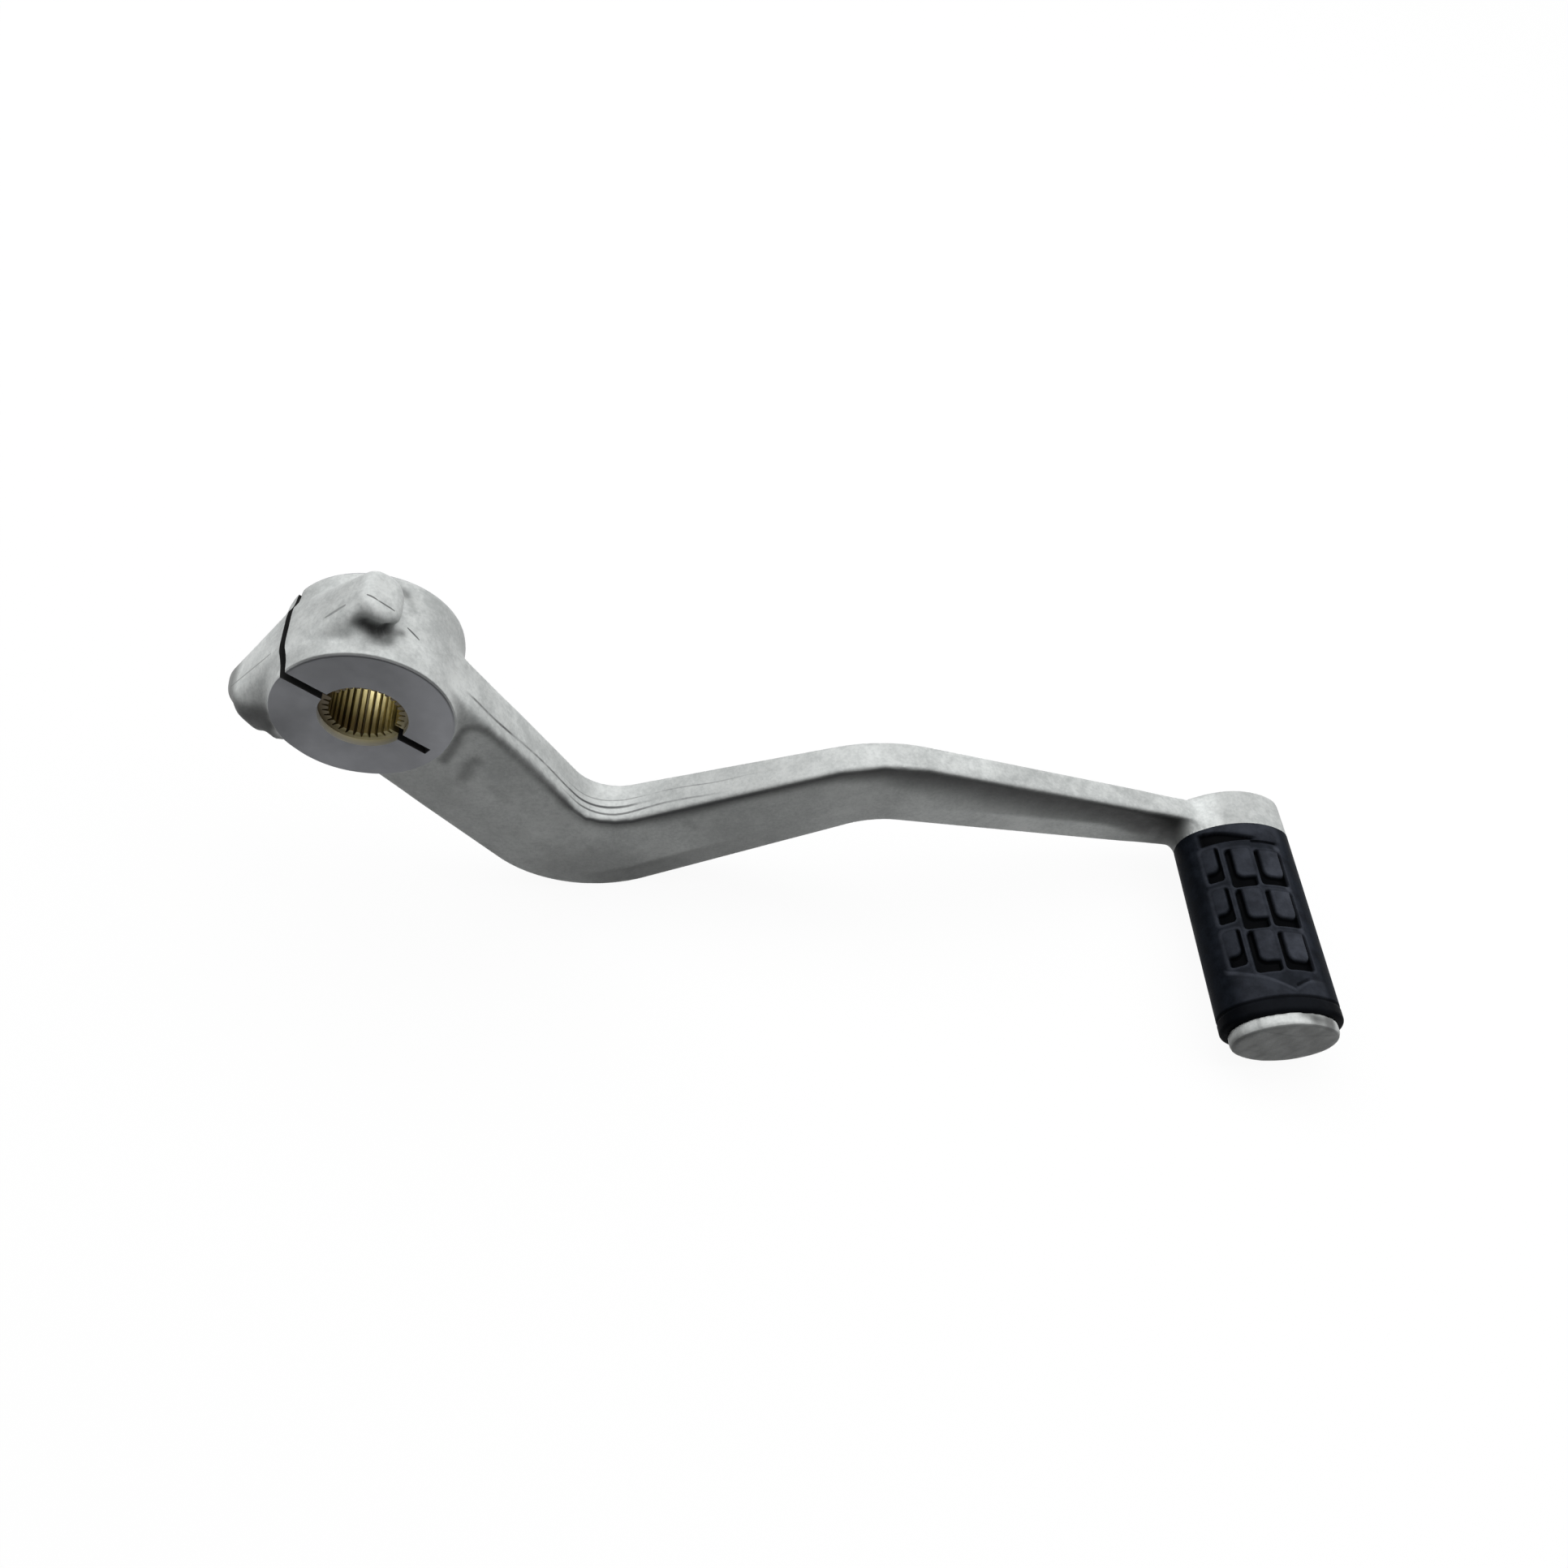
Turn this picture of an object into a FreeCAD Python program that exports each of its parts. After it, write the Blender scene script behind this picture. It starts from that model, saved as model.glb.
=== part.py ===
import FreeCAD, Part
import math
import os
import re

import Sketcher

# Cast aluminium motorbike foot lever.
# Frame: origin on the bore axis at the middle of the hub, +Y along the bore towards the engine,
# +X along the lever towards the peg, +Z up. The lever rests on its bend and on its peg.
# Every size is in millimetres and every angle in degrees.

DIMENSIONS = [
    # Hub
    ("hub_diameter", 32.0, "outside of the hub"),
    ("hub_length", 19.7, "hub from face to face along the bore"),
    ("hub_rim_chamfer", 0.4, "broken edge round both machined faces"),
    # Serrated bush, 12 by 14 serration
    ("bush_diameter", 15.6, "outside of the bush and its seat in the hub"),
    ("bush_recess", 1.35, "depth of the bush below each hub face"),
    ("spline_minor", 12.0, "serration across its crests"),
    ("spline_major", 14.2, "serration across its roots"),
    ("spline_teeth", 31, "number of serrations"),
    ("spline_crest", 0.50, "width of each crest"),
    ("spline_root", 0.22, "width of each root"),
    # Saw slit
    ("slit_angle", 134.5, "direction of the open side of the slit, from +X towards +Z"),
    ("slit_width", 1.5, "saw cut"),
    ("slit_relief", 13.6, "end of the relief cut, from the bore axis"),
    # Pinch-bolt boss: a lug for the bolt head on one side of the slit, a nose with the thread on the other
    ("bolt_offset", 11.2, "bolt axis from the bore axis"),
    ("lug_reach", 21.5, "lug end from the slit"),
    ("lug_offset", 11.4, "middle of the lug end from the bore axis"),
    ("lug_width", 13.4, "lug end across, along the bore"),
    ("lug_height", 10.0, "lug end across, away from the bore"),
    ("lug_corner", 4.4, "corner radius of the lug end"),
    ("boss_offset", 11.4, "middle of the boss at the slit from the bore axis"),
    ("boss_width", 16.4, "boss at the slit across, along the bore"),
    ("boss_height", 11.4, "boss at the slit across, away from the bore"),
    ("boss_corner", 4.8, "corner radius of the boss at the slit"),
    ("nose_reach", 19.2, "nose end from the slit"),
    ("nose_offset", 9.5, "middle of the nose end from the bore axis"),
    ("nose_width", 10.2, "nose end across, along the bore"),
    ("nose_height", 8.0, "nose end across, away from the bore"),
    ("nose_corner", 3.6, "corner radius of the nose end"),
    ("boss_edge_radius", 2.2, "rounding of the lug end and the nose end"),
    ("bolt_hole", 6.4, "clearance hole for an M6 bolt"),
    ("thread_core", 5.0, "core of the M6 thread in the nose"),
    ("thread_depth", 12.0, "depth of the thread core from the slit"),
    # Arm outline, in front view: two edges with a bend and a crest each
    ("leg_top_step", 0.4, "upper edge of the leg inside the hub"),
    ("leg_low_step", 4.2, "lower edge of the leg inside the hub"),
    ("bend_top_x", 37.8, "upper corner of the bend, to the right"),
    ("bend_top_drop", 37.4, "upper corner of the bend, down"),
    ("bend_low_x", 28.2, "lower corner of the bend, to the right"),
    ("bend_low_drop", 64.2, "lower corner of the bend, down"),
    ("crest_top_x", 94.3, "upper corner of the crest, to the right"),
    ("crest_top_drop", 19.6, "upper corner of the crest, down"),
    ("crest_low_x", 93.2, "lower corner of the crest, to the right"),
    ("crest_low_drop", 38.6, "lower corner of the crest, down"),
    ("end_above_peg", 3.9, "upper edge of the arm above the peg axis"),
    ("end_below_peg", 5.9, "lower edge of the arm below the peg axis"),
    ("bend_inner_radius", 9.0, "upper side of the bend"),
    ("bend_outer_radius", 24.5, "lower side of the bend"),
    ("crest_top_radius", 28.0, "upper side of the crest"),
    ("crest_low_radius", 18.0, "lower side of the crest"),
    # Arm in plan: its faces from the middle plane of the hub; the back has a slight hollow at the crest
    ("hub_step", 1.25, "front face behind the hub face, at the far side of the hub"),
    ("arm_front_end", 4.7, "front face at the peg"),
    ("arm_back", 4.2, "back face at the far side of the hub"),
    ("arm_back_crest", 0.2, "back face at the crest"),
    ("arm_back_end", 0.9, "back face at the peg"),
    # Draft facet along the lower half of the front face, and broken edges
    ("facet_height", 6.5, "facet up the front face"),
    ("facet_depth", 0.6, "facet along the underside"),
    ("arm_edge_radius", 0.8, "rounding of the upper edges and the back edges"),
    ("arm_low_radius", 1.0, "rounding of the lower front edge"),
    ("hub_crease_radius", 0.7, "fillet between the hub and the front of the arm"),
    ("collar_crease_radius", 1.2, "fillet between the collar and the front of the arm"),
    # Peg: collar, core and retaining head
    ("peg_x", 170.5, "peg axis to the right"),
    ("peg_drop", 49.3, "peg axis down"),
    ("peg_width", 24.0, "oval of the collar and the rubber, across"),
    ("peg_height", 17.2, "oval of the collar and the rubber, upright"),
    ("oval_end_share", 0.8, "end radius of every oval as a share of half its height"),
    ("collar_front", 7.0, "collar seat of the rubber, ahead of the middle plane"),
    ("collar_back", 1.9, "collar behind the middle plane"),
    ("collar_edge_radius", 0.9, "rounding at the back of the collar"),
    ("rubber_wall", 2.9, "rubber round the core"),
    ("head_side_step", 1.4, "head inside the rubber at either side"),
    ("head_top_step", 0.8, "head inside the rubber at the top and bottom"),
    ("head_length", 2.8, "head beyond the rubber"),
    ("head_edge_chamfer", 0.6, "broken edge of the head"),
    # Rubber sleeve and its tread
    ("rubber_length", 43.4, "sleeve along the peg"),
    ("rubber_edge_chamfer", 0.7, "broken edge at the outer end of the sleeve"),
    ("tread_depth", 1.0, "depth of the grooves"),
    ("tread_columns", 3, "blocks across"),
    ("tread_rows", 3, "blocks along"),
    ("tread_pitch_across", 6.2, "block to block across"),
    ("tread_pitch_along", 10.2, "block to block along"),
    ("block_width", 3.4, "block across"),
    ("block_length", 7.0, "block along"),
    ("block_corner", 0.8, "corner radius of a block"),
    ("groove_width", 1.1, "groove round a block"),
    ("tread_start", 12.0, "middle of the first row of blocks from the inner end"),
]

ALIASES = {alias for alias, value, note in DIMENSIONS}
SHEET = "Dims"

# How near a point has to be to count as on a face
MATCH = 0.01
# Least part of a face normal along the bore for a front or back face, and the most for an edge face
FACING = 0.6
EDGEWISE = 0.5
# Least part of a face normal upright for a face on top of the arm or under it
UPRIGHT = 0.2
# Places along an edge that are tested
SAMPLES = (0.02, 0.35, 0.65, 0.98)

ARM_FRONT = "(hub_length / 2 - hub_step)"
LEG_TOP = "hub_diameter / 2 - leg_top_step"
LEG_LOW = "hub_diameter / 2 - leg_low_step"
CORE_WIDTH = "peg_width - 2 * rubber_wall"
CORE_HEIGHT = "peg_height - 2 * rubber_wall"
HEAD_WIDTH = "peg_width - 2 * head_side_step"
HEAD_HEIGHT = "peg_height - 2 * head_top_step"


def vector(x, y, z=0.0):
    return FreeCAD.Vector(x, y, z)


def make_sheet(doc):
    """Spreadsheet with one aliased cell for each driving dimension."""
    sheet = doc.addObject("Spreadsheet::Sheet", SHEET)
    for row, (alias, value, note) in enumerate(DIMENSIONS, start=1):
        sheet.set("A%d" % row, alias)
        sheet.set("B%d" % row, str(value))
        sheet.set("C%d" % row, note)
        sheet.setAlias("B%d" % row, alias)
    doc.recompute()
    return sheet


def bind(obj, prop, formula):
    """Binds a property to a formula in which every alias stands for its cell."""
    obj.setExpression(prop, with_cells(formula))


def with_cells(formula):
    """Formula with every alias written as a cell of the sheet."""
    return re.sub("[a-z_]+", lambda word: SHEET + "." + word[0] if word[0] in ALIASES else word[0], formula)


def origin_feature(body, role):
    return next(f for f in body.Origin.OriginFeatures if f.Role == role)


def sketch_on(body, role, name):
    """Sketch on one of the body's own origin planes."""
    sketch = body.newObject("Sketcher::SketchObject", name)
    sketch.AttachmentSupport = [(origin_feature(body, role), "")]
    sketch.MapMode = "FlatFace"
    return sketch


def fix(sketch, formula, kind, *where):
    """Adds a dimension to a sketch and binds it to a formula; its first value is the drawn one."""
    index = sketch.addConstraint(Sketcher.Constraint(kind, *where))
    bind(sketch, "Constraints[%d]" % index, formula)


def place_point(sketch, geometry, end, right, up):
    """Fixes a point by its distances from the sketch origin; a minus sign means left or down."""
    for kind, formula in (("DistanceX", right), ("DistanceY", up)):
        size = formula.lstrip("-").strip()
        value = abs(distance_from_origin(sketch, geometry, end, kind))
        if formula.startswith("-"):
            fix(sketch, size, kind, geometry, end, -1, 1, value)
        else:
            fix(sketch, size, kind, -1, 1, geometry, end, value)


def distance_from_origin(sketch, geometry, end, kind):
    point = sketch.getPoint(geometry, end)
    return point.x if kind == "DistanceX" else point.y


def draw_polygon(sketch, corners):
    """Closed run of lines through the corners; returns the index of the first line."""
    first = sketch.GeometryCount
    count = len(corners)
    for i in range(count):
        start, stop = corners[i], corners[(i + 1) % count]
        sketch.addGeometry(Part.LineSegment(vector(*start), vector(*stop)))
    for i in range(count):
        sketch.addConstraint(Sketcher.Constraint("Coincident", first + i, 2, first + (i + 1) % count, 1))
    return first


def draw_oval(sketch, width, height):
    """Oval of four tangent arcs about the peg axis; width and height are formulas of its full sizes."""
    x, y = evaluate(sketch, "peg_x"), -evaluate(sketch, "peg_drop")
    long, short = evaluate(sketch, width) / 2, evaluate(sketch, height) / 2
    small_formula = "oval_end_share * (%s) / 2" % height
    small = evaluate(sketch, small_formula)
    reach_formula = "((%s) / 2 - %s)" % (width, small_formula)
    large_formula = "(%s ^ 2 + ((%s) / 2) ^ 2 - (%s) ^ 2) / (2 * ((%s) / 2 - %s))" % (
        reach_formula, height, small_formula, height, small_formula)
    large = evaluate(sketch, large_formula)
    reach, sink = long - small, large - short
    meet = math.atan2(sink, reach)
    first = sketch.GeometryCount
    arcs = [
        ((x + reach, y), small, -meet, meet),
        ((x, y - sink), large, meet, math.pi - meet),
        ((x - reach, y), small, math.pi - meet, math.pi + meet),
        ((x, y + sink), large, math.pi + meet, 2 * math.pi - meet),
    ]
    for centre, radius, start, stop in arcs:
        sketch.addGeometry(Part.ArcOfCircle(Part.Circle(vector(*centre), vector(0, 0, 1), radius), start, stop))
    for index in range(4):
        sketch.addConstraint(Sketcher.Constraint("Tangent", first + index, 2, first + (index + 1) % 4, 1))
    for index in (0, 1):
        sketch.addConstraint(Sketcher.Constraint("Equal", first + index, first + index + 2))
    fix(sketch, small_formula, "Radius", first, small)
    fix(sketch, large_formula, "Radius", first + 1, large)
    place_point(sketch, first, 3, "peg_x + " + reach_formula, "-peg_drop")
    place_point(sketch, first + 2, 3, "peg_x - " + reach_formula, "-peg_drop")
    return first


def draw_rounded_rectangle(sketch, centre, width, height, corner):
    """Rounded rectangle about a centre on the sketch's Y axis; sizes and centre height are formulas."""
    half_w = evaluate(sketch, width) / 2
    half_h = evaluate(sketch, height) / 2
    radius = evaluate(sketch, corner)
    mid = evaluate(sketch, centre)
    x, y = half_w - radius, half_h - radius
    first = sketch.GeometryCount
    runs = [
        ((-x, mid - half_h), (x, mid - half_h), (x, mid - y)),
        ((half_w, mid - y), (half_w, mid + y), (x, mid + y)),
        ((x, mid + half_h), (-x, mid + half_h), (-x, mid + y)),
        ((-half_w, mid + y), (-half_w, mid - y), (-x, mid - y)),
    ]
    for quarter, (start, stop, pivot) in enumerate(runs):
        sketch.addGeometry(Part.LineSegment(vector(*start), vector(*stop)))
        circle = Part.Circle(vector(*pivot), vector(0, 0, 1), radius)
        turn = math.pi / 2 * (quarter - 1)
        sketch.addGeometry(Part.ArcOfCircle(circle, turn, turn + math.pi / 2))
    for index in range(8):
        after = first + (index + 1) % 8
        sketch.addConstraint(Sketcher.Constraint("Tangent", first + index, 2, after, 1))
    for index, direction in ((0, "Horizontal"), (2, "Vertical"), (4, "Horizontal"), (6, "Vertical")):
        sketch.addConstraint(Sketcher.Constraint(direction, first + index))
    for index in (3, 5, 7):
        sketch.addConstraint(Sketcher.Constraint("Equal", first + 1, first + index))
    fix(sketch, corner, "Radius", first + 1, radius)
    fix(sketch, width, "DistanceX", first + 6, 1, first + 2, 1, 2 * half_w)
    fix(sketch, "(%s) / 2" % width, "DistanceX", -1, 1, first + 2, 1, half_w)
    fix(sketch, height, "DistanceY", first, 1, first + 4, 1, 2 * half_h)
    low = mid - half_h
    low_formula = "(%s) - (%s) / 2" % (centre, height)
    if low < 0:
        fix(sketch, "-1 * (%s)" % low_formula, "DistanceY", first, 1, -1, 1, -low)
    else:
        fix(sketch, low_formula, "DistanceY", -1, 1, first, 1, low)
    return first


def evaluate(obj, formula):
    """Value of a formula of aliases, for the first drawing of a sketch."""
    return float(obj.evalExpression(with_cells(formula)))


def pad(body, sketch, name, length, reverse=False, both=False):
    feature = body.newObject("PartDesign::Pad", name)
    feature.Profile = sketch
    feature.SideType = "Symmetric" if both else "One side"
    feature.Reversed = reverse
    bind(feature, "Length", length)
    body.Document.recompute()
    return feature


def pocket(body, sketch, name, length=None, reverse=False):
    """Cut along the sketch's normal; without a length it goes through both ways. It has to remove material."""
    before = body.Shape.Volume
    feature = body.newObject("PartDesign::Pocket", name)
    feature.Profile = sketch
    if length is None:
        feature.SideType = "Symmetric"
        feature.Type = "ThroughAll"
    else:
        feature.Reversed = reverse
        bind(feature, "Length", length)
    body.Document.recompute()
    if not body.Shape.Volume < before:
        raise ValueError("%s cuts nothing" % name)
    return feature


def dress(body, kind, name, edges, **sizes):
    """Fillet or chamfer on edges of the body's tip, with its sizes bound to formulas."""
    base = body.Tip
    if not edges:
        raise ValueError("%s has no edges" % name)
    feature = body.newObject("PartDesign::%s" % kind, name)
    feature.Base = (base, edges)
    if "Size2" in sizes:
        feature.ChamferType = "Two distances"
    for prop, formula in sizes.items():
        bind(feature, prop, formula)
    body.Document.recompute()
    if not feature.isValid() or not feature.Shape.isValid():
        raise ValueError("%s failed" % name)
    return feature


def edges_where(shape, test):
    """Names of the edges for which every sampled point passes the test."""
    names = []
    for index, edge in enumerate(shape.Edges, start=1):
        first, last = edge.FirstParameter, edge.LastParameter
        points = [edge.valueAt(first + (last - first) * share) for share in SAMPLES]
        if all(test(point) for point in points):
            names.append("Edge%d" % index)
    return names


def tilt_sketch(sketch, along):
    """Turns a sketch on the YZ plane square to the bolt and slides it along the bolt axis.

    In the turned sketch X runs along the bore and Y away from the bore axis.
    """
    sketch.AttachmentOffset = FreeCAD.Placement(vector(0, 0), FreeCAD.Rotation(vector(-1, 0, 0), 1))
    bind(sketch, "AttachmentOffset.Rotation.Angle", "slit_angle - 90")
    bind(sketch, "AttachmentOffset.Base.y", "(%s) * sin(slit_angle - 90)" % along)
    bind(sketch, "AttachmentOffset.Base.z", "(%s) * cos(slit_angle - 90)" % along)
    sketch.Document.recompute()


def slit_sketch(body, name):
    """Sketch in the plane of the hub face, turned so that its X axis follows the slit."""
    sketch = sketch_on(body, "XZ_Plane", name)
    sketch.AttachmentOffset = FreeCAD.Placement(vector(0, 0), FreeCAD.Rotation(vector(0, 0, 1), 1))
    bind(sketch, "AttachmentOffset.Rotation.Angle", "slit_angle")
    body.Document.recompute()
    return sketch


def add_arm(body, size):
    """Flat cranked arm: front outline, rounded bends, plan taper, draft facet and broken edges."""
    outline = sketch_on(body, "XZ_Plane", "arm_outline")
    bind(outline, "AttachmentOffset.Base.z", ARM_FRONT)
    body.Document.recompute()
    top = (size["bend_top_x"], -size["bend_top_drop"])
    low = (size["bend_low_x"], -size["bend_low_drop"])
    end_top = (size["peg_x"], -size["peg_drop"] + size["end_above_peg"])
    end_low = (size["peg_x"], -size["peg_drop"] - size["end_below_peg"])
    leg_top, leg_low = evaluate(outline, LEG_TOP), evaluate(outline, LEG_LOW)
    corners = [
        foot_point(top, leg_top, 1),
        top,
        (size["crest_top_x"], -size["crest_top_drop"]),
        end_top,
        end_low,
        (size["crest_low_x"], -size["crest_low_drop"]),
        low,
        foot_point(low, leg_low, -1),
    ]
    line = draw_polygon(outline, corners)
    placed = [
        (1, "bend_top_x", "-bend_top_drop"),
        (2, "crest_top_x", "-crest_top_drop"),
        (3, "peg_x", "-( peg_drop - end_above_peg )"),
        (4, "peg_x", "-( peg_drop + end_below_peg )"),
        (5, "crest_low_x", "-crest_low_drop"),
        (6, "bend_low_x", "-bend_low_drop"),
    ]
    for corner, right, up in placed:
        place_point(outline, line + corner, 1, right, up)
    for corner, edge, inset, value in ((0, 0, LEG_TOP, leg_top), (7, 6, LEG_LOW, leg_low)):
        radius = outline.addGeometry(Part.LineSegment(vector(0, 0), vector(*corners[corner])), True)
        outline.addConstraint(Sketcher.Constraint("Coincident", radius, 1, -1, 1))
        outline.addConstraint(Sketcher.Constraint("Coincident", radius, 2, line + corner, 1))
        outline.addConstraint(Sketcher.Constraint("Perpendicular", radius, line + edge))
        fix(outline, inset, "Distance", radius, value)
    pad(body, outline, "arm_blank", ARM_FRONT + " + arm_back", reverse=True)
    bends = [
        ("bend_inner_radius", corners[1]),
        ("bend_outer_radius", corners[6]),
        ("crest_top_radius", corners[2]),
        ("crest_low_radius", corners[5]),
    ]
    for radius, (x, z) in bends:
        upright = edges_where(body.Shape, lambda p: abs(p.x - x) < MATCH and abs(p.z - z) < MATCH)
        dress(body, "Fillet", radius.replace("_radius", ""), upright, Radius=radius)
    thin_arm(body, size)
    hub_radius = size["hub_diameter"] / 2
    facet = edges_between(body.Shape, front_face, underside, hub_radius)
    dress(body, "Chamfer", "front_facet", facet, Size="facet_depth", Size2="facet_height")
    low = edges_between(body.Shape, front_face, underside, hub_radius)
    dress(body, "Fillet", "low_edge", low, Radius="arm_low_radius")
    top = edges_between(body.Shape, front_face, topside, hub_radius)
    dress(body, "Fillet", "top_edge", top, Radius="arm_edge_radius")
    back = edges_between(body.Shape, back_face, edge_face, hub_radius)
    dress(body, "Fillet", "back_edge", back, Radius="arm_edge_radius")


def thin_arm(body, size):
    """Thins the arm towards the peg: a flat cut on the front, a hollow cut on the back."""
    plan = sketch_on(body, "XY_Plane", "arm_plan")
    root, stop = -size["hub_diameter"] / 2, size["peg_x"]
    face = -evaluate(plan, ARM_FRONT)
    front = draw_polygon(plan, [(root, face), (stop, -size["arm_front_end"]), (stop, face)])
    place_point(plan, front, 1, "-hub_diameter / 2", "-" + ARM_FRONT)
    place_point(plan, front + 1, 1, "peg_x", "-arm_front_end")
    place_point(plan, front + 2, 1, "peg_x", "-" + ARM_FRONT)
    back = draw_polygon(plan, [
        (root, size["arm_back"]), (size["crest_top_x"], size["arm_back_crest"]), (stop, size["arm_back_end"]),
        (stop, size["arm_back"])])
    place_point(plan, back, 1, "-hub_diameter / 2", "arm_back")
    place_point(plan, back + 1, 1, "crest_top_x", "arm_back_crest")
    place_point(plan, back + 2, 1, "peg_x", "arm_back_end")
    place_point(plan, back + 3, 1, "peg_x", "arm_back")
    pocket(body, plan, "arm_thinning")


def front_face(normal):
    return normal.y < -FACING


def back_face(normal):
    return normal.y > FACING


def topside(normal):
    return abs(normal.y) < EDGEWISE and normal.z > UPRIGHT


def underside(normal):
    return abs(normal.y) < EDGEWISE and normal.z < -UPRIGHT


def edge_face(normal):
    return topside(normal) or underside(normal)


def edges_between(shape, one, other, clear):
    """Names of the edges, clear of the bore axis, where faces that pass the two tests meet."""
    names = []
    for index, edge in enumerate(shape.Edges, start=1):
        point = edge.valueAt((edge.FirstParameter + edge.LastParameter) / 2)
        if math.hypot(point.x, point.z) < clear:
            continue
        faces = shape.ancestorsOfType(edge, Part.Face)
        normals = [face.normalAt(*face.Surface.parameter(point)) for face in faces]
        if len(normals) == 2 and any(one(a) and other(b) for a, b in (normals, normals[::-1])):
            names.append("Edge%d" % index)
    return names


def foot_point(corner, inset, side):
    """Foot of the perpendicular from the bore axis on a leg edge that ends at the corner."""
    reach = math.hypot(*corner)
    bearing = math.atan2(corner[1], corner[0]) + side * math.acos(inset / reach)
    return (inset * math.cos(bearing), inset * math.sin(bearing))


def add_hub(body, size):
    disc = sketch_on(body, "XZ_Plane", "hub_disc")
    circle = disc.addGeometry(Part.Circle(vector(0, 0), vector(0, 0, 1), size["hub_diameter"] / 2))
    disc.addConstraint(Sketcher.Constraint("Coincident", circle, 3, -1, 1))
    fix(disc, "hub_diameter", "Diameter", circle, size["hub_diameter"])
    pad(body, disc, "hub", "hub_length", both=True)
    radius, face = size["hub_diameter"] / 2, size["hub_length"] / 2

    def on_hub(point):
        return abs(math.hypot(point.x, point.z) - radius) < MATCH

    def on_crease(point):
        return on_hub(point) and MATCH - face < point.y < 0

    def on_rim(point):
        return on_hub(point) and abs(abs(point.y) - face) < MATCH

    crease = edges_where(body.Shape, on_crease)
    dress(body, "Fillet", "hub_crease", crease, Radius="hub_crease_radius")
    dress(body, "Chamfer", "hub_rim", edges_where(body.Shape, on_rim), Size="hub_rim_chamfer")


def add_boss(body, size):
    """Tapered pinch-bolt boss along the bolt axis, from the lug end to the nose end."""
    sections = []
    for name, along in (("lug", "-1 * lug_reach"), ("boss", "0"), ("nose", "nose_reach")):
        section = sketch_on(body, "YZ_Plane", name + "_section")
        tilt_sketch(section, along)
        draw_rounded_rectangle(section, name + "_offset", name + "_width", name + "_height", name + "_corner")
        sections.append(section)
    body.Document.recompute()
    boss = body.newObject("PartDesign::AdditiveLoft", "bolt_boss")
    boss.Profile = sections[0]
    boss.Sections = sections[1:]
    boss.Ruled = True
    body.Document.recompute()
    lean = math.radians(size["slit_angle"] - 90)
    for name, reach in (("lug", -size["lug_reach"]), ("nose", size["nose_reach"])):
        rim = edges_where(
            body.Shape, lambda p: abs(p.x * math.cos(lean) + p.z * math.sin(lean) - reach) < MATCH)
        dress(body, "Fillet", name + "_edge", rim, Radius="boss_edge_radius")


def add_peg(body, size):
    """Oval collar at the arm's end, the core that carries the rubber, and the retaining head."""
    steps = [
        ("collar", "collar_front", "collar_front + collar_back", "peg_width", "peg_height"),
        ("core", "collar_front + rubber_length", "rubber_length", CORE_WIDTH, CORE_HEIGHT),
        ("head", "collar_front + rubber_length + head_length", "head_length", HEAD_WIDTH, HEAD_HEIGHT),
    ]
    for name, front, length, width, height in steps:
        section = sketch_on(body, "XZ_Plane", name + "_oval")
        bind(section, "AttachmentOffset.Base.z", front)
        body.Document.recompute()
        draw_oval(section, width, height)
        pad(body, section, name, length, reverse=True)
        if name == "collar":
            back = edges_where(body.Shape, lambda p: abs(p.y - size["collar_back"]) < MATCH)
            dress(body, "Fillet", "collar_edge", back, Radius="collar_edge_radius")
            crease = collar_crease_edges(body.Shape, size)
            dress(body, "Fillet", "collar_crease", crease, Radius="collar_crease_radius")
    end = -size["collar_front"] - size["rubber_length"] - size["head_length"]
    rim = edges_where(body.Shape, lambda p: abs(p.y - end) < MATCH)
    dress(body, "Chamfer", "head_edge", rim, Size="head_edge_chamfer")


def collar_crease_edges(shape, size):
    """Edges where the arm runs into the side of the collar."""
    near = size["peg_x"] - size["peg_width"] / 2 - MATCH
    back = size["collar_back"] - size["collar_edge_radius"]
    names = []
    for index, edge in enumerate(shape.Edges, start=1):
        box = edge.BoundBox
        inside = MATCH - size["collar_front"] < box.YMin and box.YMax < back
        if inside and box.XMin > near and box.YLength + box.ZLength > MATCH:
            names.append("Edge%d" % index)
    return names


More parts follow.
